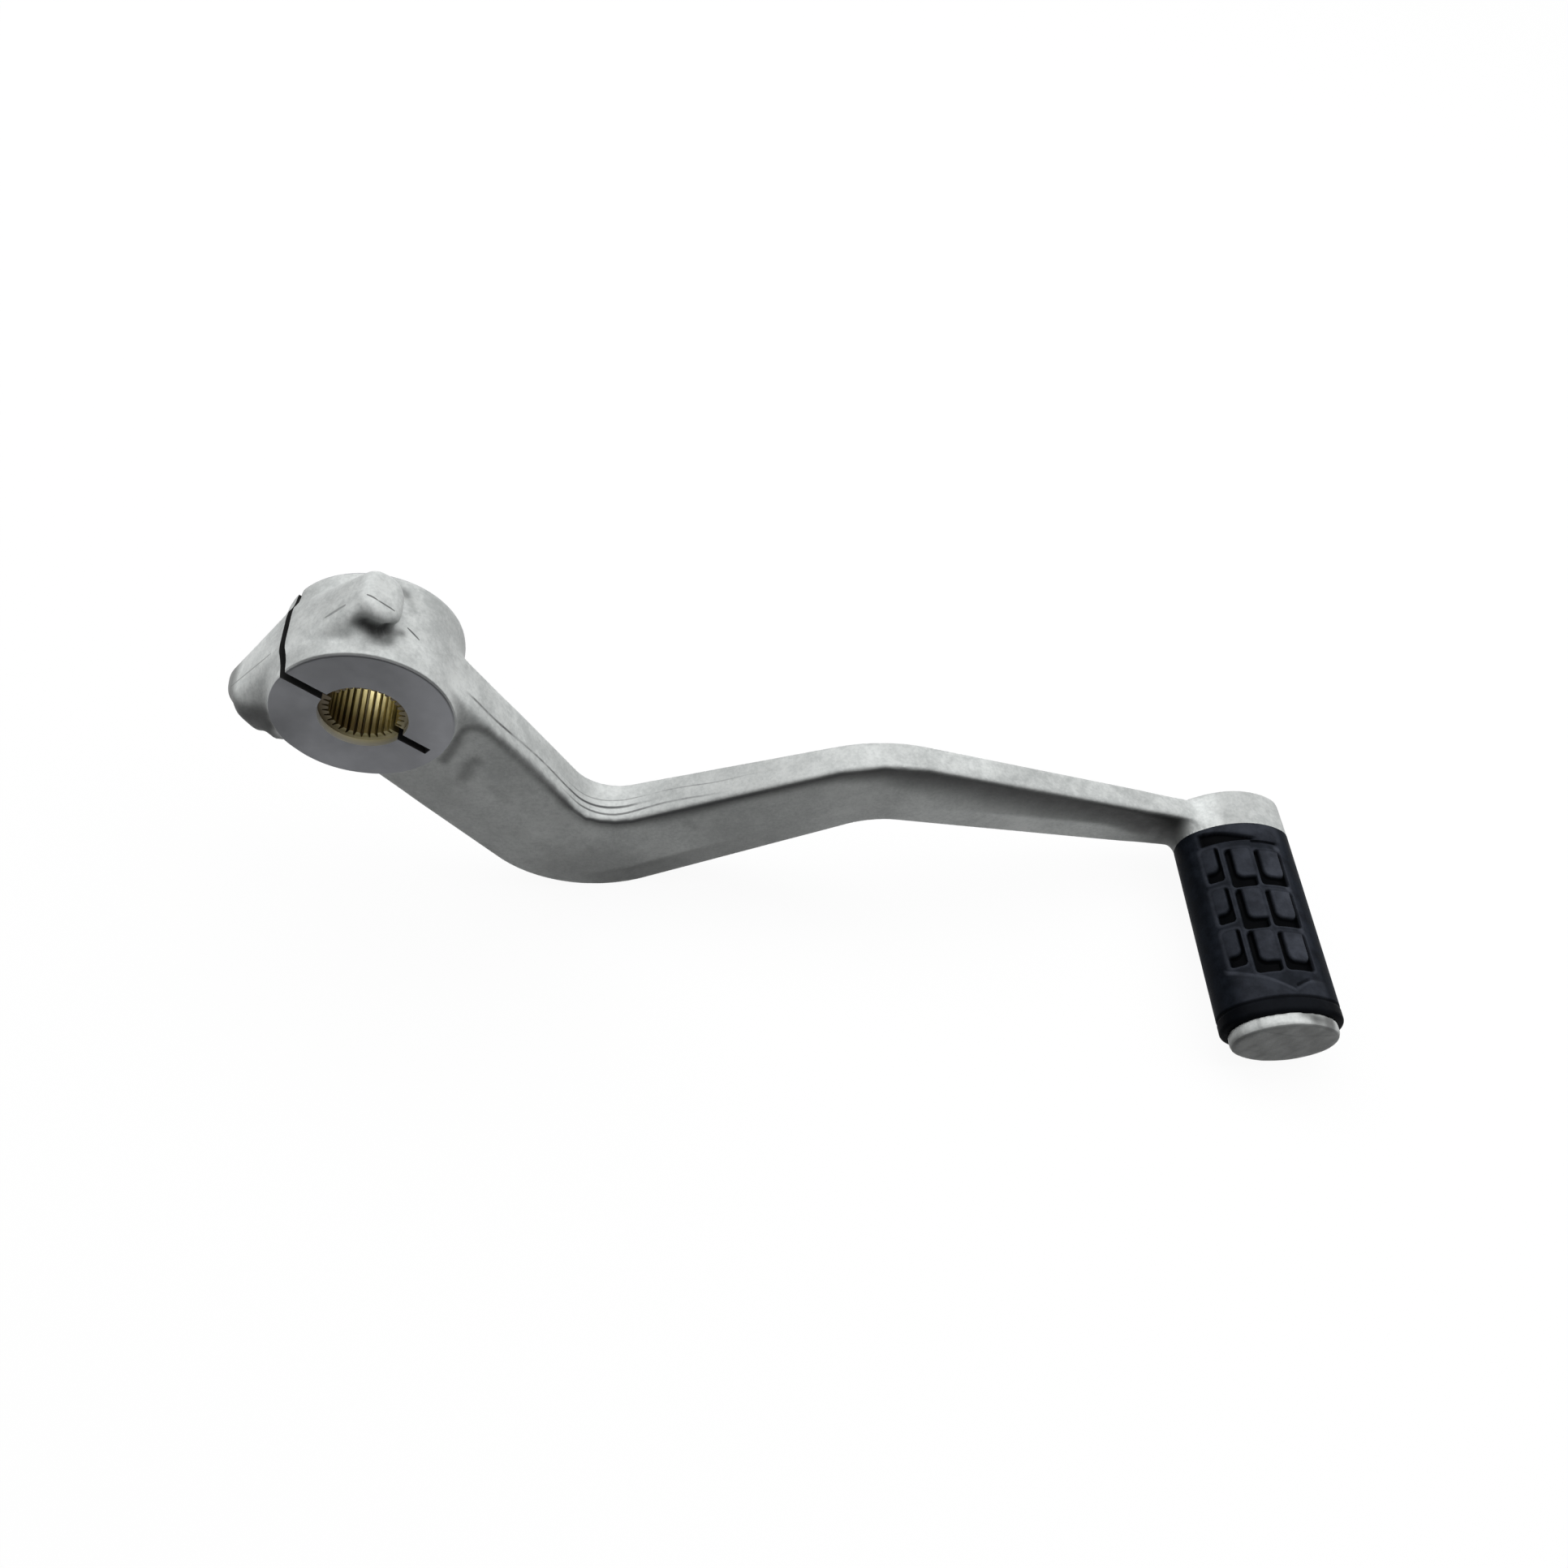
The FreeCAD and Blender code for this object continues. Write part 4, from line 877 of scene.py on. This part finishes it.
def shape_skin(skin, casting, rubber):
    """Gives the voxel skin its fillets, crisp arm, soft shoulder, hollow nose, round lug and leaning peg."""
    shape = SkinShape(skin)
    points = shape.points / MM
    fields = skin_fields(points, casting, rubber)
    zones = {name: within(fields, steps) for name, steps in SKIN_ZONES.items()}
    hub, collar = zones["hub"], zones["collar"]
    firm = (1.0 - 0.5 * zones["cheek"]) * (1.0 - 0.80 * zones["nose"]) * (1.0 - 0.82 * zones["crease"])
    shape.even_out(np.full(len(points), 0.4), 4)
    shape.fill_hollows(0.5 * np.maximum(hub * firm, collar), casting.fill_passes)
    shape.fill_hollows(0.5 * zones["seam"], 60)
    arm = (1.0 - np.maximum(hub, collar)) * zones["arm"]
    shape.lay_on(surface_tree(merged_casting()), arm)
    shape.even_out(0.2 * arm, 1)
    shape.even_out(0.5 * near_line(points, *SHOULDER), 14)
    shape.press_in(near_line(points, *NOSE_HOLLOW), casting.nose_hollow)
    shape.press_in(near_line(points, *LUG_TOE), LUG_TOE_DEPTH * MM)
    shape.even_out(0.5 * zones["lug"], 14)
    at_peg = points[:, 0] > PEG_SIDE
    x, y, z = shape.points.T
    rim = at_peg & (np.abs(y - rubber.inner_end) < 0.42 * MM)
    rim &= np.hypot(x - rubber.axis[0], z - rubber.axis[1]) > rubber.height / 2.0 - 0.6 * MM
    shape.points[rim, 1] = rubber.inner_end
    beyond = np.maximum(rubber.inner_end - shape.points[:, 1], 0.0) * at_peg
    shape.points[:, 0] -= casting.peg_lean * beyond
    shape.settle()
    return shape


def carve(mesh, cutter):
    """Mesh with a cutter taken out of it."""
    tool = put_in_scene("cutter", cutter)
    made = evaluated(mesh, "BOOLEAN", operation="DIFFERENCE", object=tool, solver="MANIFOLD")
    bpy.data.objects.remove(tool)
    return made


def casting_cutters(casting):
    """Cutters for the hub faces, the bush seat, the slit and the bolt hole, as meshes."""
    deep = 6.0 * MM
    long = 4.0 * casting.hub_half
    hole = casting.lug_reach + 4.0 * MM
    cylinders = [
        (casting.hub_radius + 2.0 * MM, deep, across_bore(side * (casting.hub_half + deep / 2.0)), 160)
        for side in (-1.0, 1.0)
    ]
    cylinders += [
        (casting.seat_radius, long, across_bore(), 160),
        (casting.bolt_radius, hole, along_bolt(casting, -hole, 0.0), 64),
        (casting.thread_radius, casting.thread_depth, along_bolt(casting, 0.0, casting.thread_depth), 64),
    ]
    cutters = []
    for radius, depth, matrix, segments in cylinders:
        bm = bmesh.new()
        add_cylinder(bm, radius, depth, matrix, segments)
        cutters.append(mesh_of(bm, "round_cutter"))
    bm = bmesh.new()
    add_slit_block(bm, casting, -casting.slit_relief, 2.0 * casting.hub_radius, casting.slit_width, long)
    cutters.insert(3, mesh_of(bm, "slit_cutter"))
    return cutters


def carried(shape, values, points):
    """Levels of a skin's vertices at other points, each from the nearest vertex."""
    tree = KDTree(len(shape.points))
    for index, place in enumerate(shape.points):
        tree.insert(place, index)
    tree.balance()
    return np.array([values[tree.find(place)[1]] for place in points])


def spread(mesh, values, passes):
    """Levels of the vertices, evened out with their neighbours."""
    links = Links(mesh)
    for step in range(passes):
        values = 0.5 * values + 0.5 * links.mean(values)
    return values


def front_tone(fields, sink, on_arm):
    """Tone of the front of the arm: painted shade under its upper edge and painted light and shade on the
    draft facet along its lower edge.
    """
    x = fields["x"]
    shade_x, shade_start, shade_reach = np.array(EDGE_SHADE).T
    start = np.interp(x, shade_x, shade_start)
    level = start + (1.06 - start) * smooth_level(sink, 0.6, 0.6 + np.interp(x, shade_x, shade_reach))
    facet_x, facet_tone = np.array(FACET_LIGHT_AND_SHADE).T
    low = 3.2 * smooth_level(x, 140.0, 152.0)
    facet = smooth_level(from_edge(x, fields["z"], ARM_LOW), 6.9 - 0.6 * low, 5.8 - low)
    level += (np.interp(x, facet_x, facet_tone) - level) * facet
    front = smooth_level(sink, -0.1, 0.5) * smooth_level(fields["ahead"], 0.05, 0.35) * on_arm
    front *= fields["y"] < x * FRONT_RISE + FRONT_START + 2.6
    return 1.0 + (level - 1.0) * front


def patch_tone(points):
    """Tone of the soft patches of painted shade, painted highlight and stains, with wavering edges."""
    waver = 0.07 * waves(points[:, 0], points[:, 2], WAVER)
    tone = np.ones(len(points))
    for path, reach, dark in SHADE_LIGHT_AND_STAIN_PATCHES:
        away = np.min([from_line(points, *ends) for ends in zip(path[:-1], path[1:])], axis=0)
        tone *= 1.0 - (1.0 - dark) * smooth_level(away / reach + waver, 1.15, 0.2)
    return tone


def paint_casting(mesh, shape, casting, rubber):
    """Marks the machined faces, the depth under the arm's upper edge, its top and the tone of the skin, which
    holds painted light and shade and stains.
    """
    points = points_of(mesh) / MM
    normals = points_of(mesh, "normal")
    fields = skin_fields(points, casting, rubber)
    x, y, z = points.T
    machined = (np.abs(y) > casting.hub_half / MM - 0.02) & (fields["radius"] < 17.0)
    hollow = carried(shape, shape.hollow(), points * MM) / casting.voxel
    fields.update(up=normals[:, 2], ahead=-normals[:, 1], cast=1.0 - machined, hollow=hollow,
                  below=normals @ np.array((-0.35, -0.55, -0.75)),
                  toward=normals @ np.array((-0.2, -0.75, 0.55)))
    sink = -from_edge(x, z, ARM_TOP)
    on_arm = within(fields, ARM_ZONE)
    tone = front_tone(fields, sink, on_arm) * patch_tone(points)
    # painted shade in hollow corners, less on the flank of the boss
    shade = 0.45 * smooth_level(hollow, 0.03, 0.16) * (1.0 - 0.8 * within(fields, FLANK_ZONE))
    tone *= 1.0 - shade * fields["cast"]
    for change, steps in TONE_RULES.values():
        tone *= 1.0 + change * within(fields, steps)
    # darker end face of the peg's head, made uneven by waves
    tone *= 1.0 - smooth_level(y, -52.9, -53.15) * (0.64 + 0.05 * waves(x, z, HEAD_FACE_WAVES))
    # painted shade on the collar, strongest on its left
    collar = smooth_level(x, 165.5, 168.0) * (y > -9.0)
    tone *= 1.0 - collar * (0.28 - 0.24 * smooth_level(x, 170.0, 179.0))
    point_attribute(mesh, "machined", machined)
    point_attribute(mesh, "sink", sink)
    point_attribute(mesh, "top", on_arm * (np.abs(normals[:, 1]) < 0.7) * (sink < 1.6))
    point_attribute(mesh, "tone", spread(mesh, np.minimum(tone, BRIGHTEST), 2))


def skin_lines(mesh):
    """Thin lines of the hub, laid on the skin."""
    tree = surface_tree(bmesh_of(mesh))
    lines = []
    for path, width, dark in SKIN_LINES:
        for first, last in zip(path[:-1], path[1:]):
            first, last = Vector(first) * MM, Vector(last) * MM
            normal = tree.find_nearest(first.lerp(last, 0.5))[1]
            lines.append((first, last, normal, width * MM, dark))
    return lines


class LEVER_OT_casting(bpy.types.Operator):
    """Cast skin of the lever, with its saw slit, bush seat and bolt hole cut crisp"""

    bl_idname = "lever.casting"
    bl_label = "Casting"

    def execute(self, context):
        casting, rubber = context.scene.lever_casting, context.scene.lever_rubber
        skin = evaluated(casting_blank(casting), "REMESH", mode="VOXEL", voxel_size=casting.voxel)
        shape = shape_skin(skin, casting, rubber)
        for cutter in casting_cutters(casting):
            skin = carve(skin, cutter)
        if len(skin.polygons) == 0:
            raise RuntimeError("the cuts left nothing of the casting")
        skin.shade_smooth()
        skin.set_sharp_from_angle(angle=math.radians(38.0))
        paint_casting(skin, shape, casting, rubber)
        material = cast_material(casting, context.scene.lever_finish, skin_lines(skin))
        link_piece("cast_lever", skin, material, CASTING)
        return {"FINISHED"}


class LEVER_OT_bush(bpy.types.Operator):
    """Brass finish of the two halves of the serrated bush"""

    bl_idname = "lever.bush"
    bl_label = "Serrated bush"

    def execute(self, context):
        material = brass_material(context.scene.lever_casting, context.scene.lever_finish)
        for name in BUSHES:
            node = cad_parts[name]
            node.data.materials.clear()
            node.data.materials.append(material)
        return {"FINISHED"}


def oval_profile(width, height, share, steps):
    """Points round an oval of four arcs at even steps from its underside, with their outward normals."""
    small = share * height / 2.0
    reach = width / 2.0 - small
    large = (reach ** 2 + (height / 2.0) ** 2 - small ** 2) / (2.0 * (height / 2.0 - small))
    sink = large - height / 2.0
    meet = math.atan2(sink, reach)
    flat, round_end = large * (math.pi / 2.0 - meet), small * 2.0 * meet
    half = 2.0 * flat + round_end
    along = np.linspace(-half, half, steps + 1)
    away = np.abs(along)
    turn = np.where(away < flat, math.pi / 2.0 - away / large, meet - (away - flat) / small)
    turn = np.where(away > flat + round_end, -meet - (away - flat - round_end) / large, turn)
    radius = np.where((away < flat) | (away > flat + round_end), large, small)
    side = np.sign(along)
    normal = np.stack([side * np.cos(turn), np.sin(turn)], axis=1)
    normal[along == 0.0] = (0.0, 1.0)
    centre_x = np.where(radius == small, side * reach, 0.0)
    centre_z = np.where(away < flat, -sink, np.where(away > flat + round_end, sink, 0.0))
    place = np.stack([centre_x, centre_z], axis=1) + normal * radius[:, None]
    return along, place, normal


def window(u, s, box, corner, soft):
    """Level that is 1 inside a box of the tread with round corners and falls to 0 at its soft edge."""
    left, right, near, far = box
    out_u = np.abs(u - (left + right) / 2.0) - (right - left) / 2.0 + corner
    out_s = np.abs(s - (near + far) / 2.0) - (far - near) / 2.0 + corner
    outside = np.hypot(np.maximum(out_u, 0.0), np.maximum(out_s, 0.0))
    inside = np.minimum(np.maximum(out_u, out_s), 0.0)
    return smooth_level(outside + inside - corner, soft, -soft)


def stripe(offset, full, none):
    """Level that is 1 near a line and falls to 0 on both sides of it."""
    return smooth_level(np.abs(offset), none, full)


def tread_blocks(u, s, groove):
    """Depth of the pits round the blocks, and the blocks paler by wear and painted light, with painted
    highlights on the crests and glints.
    """
    depth = np.zeros_like(u)
    wear_and_sheen = np.zeros_like(u)
    for row in range(TREAD_ROWS):
        start = np.array((0.0, 0.0, 1.0, 1.0)) * row * TREAD_PITCH
        for pit_box, pad_box in TREAD_CELLS:
            pit = window(u, s, start + pit_box, 0.8, 0.28)
            pad = window(u, s, start + pad_box, 1.5, 0.55)
            crest = window(u, s, start + pit_box + CREST_MARGIN, 1.0, 0.4) - pit
            depth = np.maximum(depth, groove * pit * (1.0 - 0.9 * pad))
            wear_and_sheen = np.maximum.reduce((wear_and_sheen, (0.72 + 0.04 * u) * pit * pad, 0.55 * crest))
        wear_and_sheen = np.maximum(wear_and_sheen, window(u, s, start + GLINT_BOX, 0.8, 0.6))
    return depth, wear_and_sheen


def tread_shape(u, s, length, groove):
    """Depth below the sleeve's outside in millimetres, with the places of painted shade and those of wear and
    painted light.
    """
    band = np.interp(u, *BAND_EDGE)
    right = smooth_level(u, 9.0, 7.2)
    field = smooth_level(u, -12.4, -10.4) * right * smooth_level(s, 3.6, 4.6)
    field *= smooth_level(s, band + 0.4, band - 0.4)
    crescent = 1.1 + 2.4 * smooth_level(u, -9.0, 3.0)
    hollow = smooth_level(s, crescent - 0.3, crescent + 0.3) * smooth_level(s, 4.3, 3.6)
    hollow *= smooth_level(u, -10.2, -9.2) * smooth_level(u, 2.6, 0.6)
    seam = stripe(s - SEAM_PLACE, 0.15, 0.4) * window(u, s, SEAM_BOX, 0.6, 0.5)
    notch = stripe(s - np.interp(u, *NOTCH_LINE), 0.15, 0.5)
    notch *= smooth_level(u, 1.0, 2.0) * smooth_level(u, 5.6, 4.6)
    collar = stripe(s - COLLAR_PLACE, 0.15, 0.45)
    depth, wear_and_sheen = tread_blocks(u, s, groove)
    depth = np.maximum.reduce((depth, 0.22 * field, 0.95 * hollow, 0.6 * seam, 0.6 * notch, 0.35 * collar))
    # paler field by wear and painted light, with the flanks left darker as painted shade
    rubbed_and_lit = smooth_level(u, -11.5, -7.0) * right * (0.5 - 0.25 * field)
    # paler line along the band's edge by wear and painted highlight
    ridge = stripe(s - band - 0.3, 0.2, 0.8) * window(u, s, RIDGE_BOX, 0.8, 0.8) * (depth < 0.4)
    # painted highlight on the flange by the collar
    flange = smooth_level(s, crescent - 0.2, crescent - 0.9) * window(u, s, FLANGE_BOX, 2.0, 2.0)
    wear_and_sheen = np.maximum.reduce((wear_and_sheen, rubbed_and_lit, 0.8 * ridge, 0.6 * flange))
    # painted shade on the band round the outer end
    rim = 0.8 * smooth_level(s, 39.9, 40.5)
    dark = np.maximum.reduce((smooth_level(depth, 0.34, 0.8), 0.9 * hollow, 0.9 * collar, rim))
    lip = np.clip(s - (length - END_ROUND), 0.0, END_ROUND)
    return depth + END_ROUND - np.sqrt(np.maximum(END_ROUND ** 2 - lip ** 2, 0.0)), dark, wear_and_sheen


class LEVER_OT_sleeve(bpy.types.Operator):
    """Tread rubber on the peg, with its moulded blocks and grooves"""

    bl_idname = "lever.sleeve"
    bl_label = "Tread rubber"

    def execute(self, context):
        rubber, lean = context.scene.lever_rubber, context.scene.lever_casting.peg_lean
        across, along = rubber.across, rubber.along
        bm = bmesh.new()
        bmesh.ops.create_grid(bm, x_segments=across, y_segments=along, size=1.0)
        mesh = mesh_of(bm, "tread_rubber", outward=False)
        spots = points_of(mesh)
        column = np.rint((spots[:, 0] + 1.0) / 2.0 * across).astype(int)
        length = rubber.length / MM
        u, place, normal = oval_profile(rubber.width / MM, rubber.height / MM, rubber.end_share, across)
        s = (spots[:, 1] + 1.0) / 2.0 * length
        depth, dark, wear_and_sheen = tread_shape(u[column], s, length, rubber.groove / MM)
        ring = (place[column] - normal[column] * depth[:, None]) * MM
        points = np.stack([ring[:, 0] + rubber.axis[0] - lean * s * MM, rubber.inner_end - s * MM,
                           ring[:, 1] + rubber.axis[1]], axis=1)
        move_points(mesh, points)
        # painted shade of the tread
        point_attribute(mesh, "groove", dark)
        point_attribute(mesh, "wear_and_sheen", wear_and_sheen)
        bm = bmesh_of(mesh)
        bmesh.ops.remove_doubles(bm, verts=bm.verts, dist=0.001 * MM)
        self.close_ends(bm, rubber, lean)
        bmesh.ops.recalc_face_normals(bm, faces=bm.faces)
        bm.to_mesh(mesh)
        bm.free()
        mesh.shade_smooth()
        mesh.set_sharp_from_angle(angle=math.radians(50.0))
        link_piece("tread_sleeve", mesh, rubber_material(context.scene.lever_finish), RUBBER)
        return {"FINISHED"}

    def close_ends(self, bm, rubber, lean):
        """Turns both open ends in to the core and joins them by the bore."""
        scale = (1.0 - 2.0 * rubber.wall / rubber.width, 1.0, 1.0 - 2.0 * rubber.wall / rubber.height)
        open_edges = [edge for edge in bm.edges if edge.is_boundary]
        turned = bmesh.ops.extrude_edge_only(bm, edges=open_edges)["geom"]
        new = [item for item in turned if isinstance(item, bmesh.types.BMVert)]
        halfway = rubber.inner_end - rubber.length / 2.0
        for is_outer, shift in ((False, 0.0), (True, lean * rubber.length)):
            rim = [vert for vert in new if (vert.co.y < halfway) == is_outer]
            middle = Vector((rubber.axis[0] - shift, 0.0, rubber.axis[1]))
            bmesh.ops.scale(bm, verts=rim, vec=scale, space=Matrix.Translation(-middle))
        rims = [item for item in turned if isinstance(item, bmesh.types.BMEdge) and item.is_boundary]
        bmesh.ops.bridge_loops(bm, edges=rims)


class LEVER_OT_stage(bpy.types.Operator):
    """Pale floor, soft overhead light and the camera"""

    bl_idname = "lever.stage"
    bl_label = "Stage"

    def execute(self, context):
        stage = context.scene.lever_stage
        self.add_floor(stage)
        self.add_light(stage)
        self.add_world(context, stage)
        self.add_camera(context, stage)
        context.scene.view_settings.view_transform = "Standard"
        return {"FINISHED"}

    def add_floor(self, stage):
        """Round floor at the lowest point of the part."""
        bm = bmesh.new()
        bmesh.ops.create_circle(bm, cap_ends=True, segments=96, radius=FLOOR_RADIUS,
                                matrix=Matrix.Translation((*FLOOR_MIDDLE, CAD_BOX[0][2])))
        floor = put_in_scene("floor", mesh_of(bm, "floor"))
        floor.data.materials.append(floor_material(stage))

    def add_light(self, stage):
        """Soft box over the lever."""
        lamp = bpy.data.lights.new("soft_box", "AREA")
        lamp.shape = "RECTANGLE"
        lamp.size, lamp.size_y = LAMP_SIZE
        lamp.energy = stage.key_power
        box = put_in_scene("soft_box", lamp)
        box.location = stage.key_place
        aim = Vector(LAMP_AIM) - Vector(stage.key_place)
        box.rotation_euler = aim.to_track_quat("-Z", "Y").to_euler()

    def add_world(self, context, stage):
        """White surround that lights the lever only a little."""
        world = bpy.data.worlds.new("studio")
        world.use_nodes = True
        context.scene.world = world
        tree = world.node_tree
        tree.nodes.clear()
        out = add_node(tree, "ShaderNodeOutputWorld")
        strength = add_node(tree, "ShaderNodeMix", {0: seen_directly(tree), 2: stage.world_level, 3: 1.0})
        light = add_node(tree, "ShaderNodeBackground", {"Color": WHITE, "Strength": strength.outputs[0]})
        tree.links.new(light.outputs[0], out.inputs["Surface"])

    def add_camera(self, context, stage):
        """Camera with the view of the photo."""
        level = Vector((math.cos(stage.yaw), -math.sin(stage.yaw), 0.0))
        ahead = Vector((math.sin(stage.yaw), math.cos(stage.yaw), 0.0)) * math.cos(stage.pitch)
        ahead.z = -math.sin(stage.pitch)
        upright = level.cross(ahead)
        right = level * math.cos(stage.roll) + upright * math.sin(stage.roll)
        up = upright * math.cos(stage.roll) - level * math.sin(stage.roll)
        data = bpy.data.cameras.new("photo_view")
        data.sensor_width = SENSOR
        data.lens = stage.lens
        data.clip_start = 0.005
        camera = put_in_scene("photo_view", data)
        turn = Matrix((right, up, -ahead)).transposed()
        camera.matrix_world = Matrix.Translation(stage.eye) @ turn.to_4x4()
        context.scene.camera = camera


class LEVER_PT_panel(bpy.types.Panel):
    """Sidebar panel with the pieces of the foot lever"""

    bl_idname = "LEVER_PT_panel"
    bl_label = "Foot lever"
    bl_space_type = "VIEW_3D"
    bl_region_type = "UI"
    bl_category = "Foot lever"

    def draw(self, context):
        for group_name in GROUPS:
            group = getattr(context.scene, group_name)
            box = self.layout.box()
            for name in group.bl_rna.properties.keys():
                if name not in ("rna_type", "name"):
                    box.prop(group, name)
        for operator in OPERATORS:
            self.layout.operator(operator.bl_idname)


GROUPS = {
    "lever_casting": LeverCastingSettings,
    "lever_rubber": LeverRubberSettings,
    "lever_finish": LeverFinishSettings,
    "lever_stage": LeverStageSettings,
}
OPERATORS = (LEVER_OT_casting, LEVER_OT_bush, LEVER_OT_sleeve, LEVER_OT_stage)


def register():
    """Registers the settings, the operators and the panel."""
    for name, group in GROUPS.items():
        bpy.utils.register_class(group)
        setattr(bpy.types.Scene, name, bpy.props.PointerProperty(type=group))
    for operator in OPERATORS:
        bpy.utils.register_class(operator)
    bpy.utils.register_class(LEVER_PT_panel)


def unregister():
    """Takes the add-on out again."""
    bpy.utils.unregister_class(LEVER_PT_panel)
    for operator in reversed(OPERATORS):
        bpy.utils.unregister_class(operator)
    for name, group in reversed(list(GROUPS.items())):
        delattr(bpy.types.Scene, name)
        bpy.utils.unregister_class(group)


def main():
    register()
    bpy.ops.lever.stage()
    bpy.ops.lever.casting()
    bpy.ops.lever.bush()
    bpy.ops.lever.sleeve()


if __name__ == "__main__":
    main()
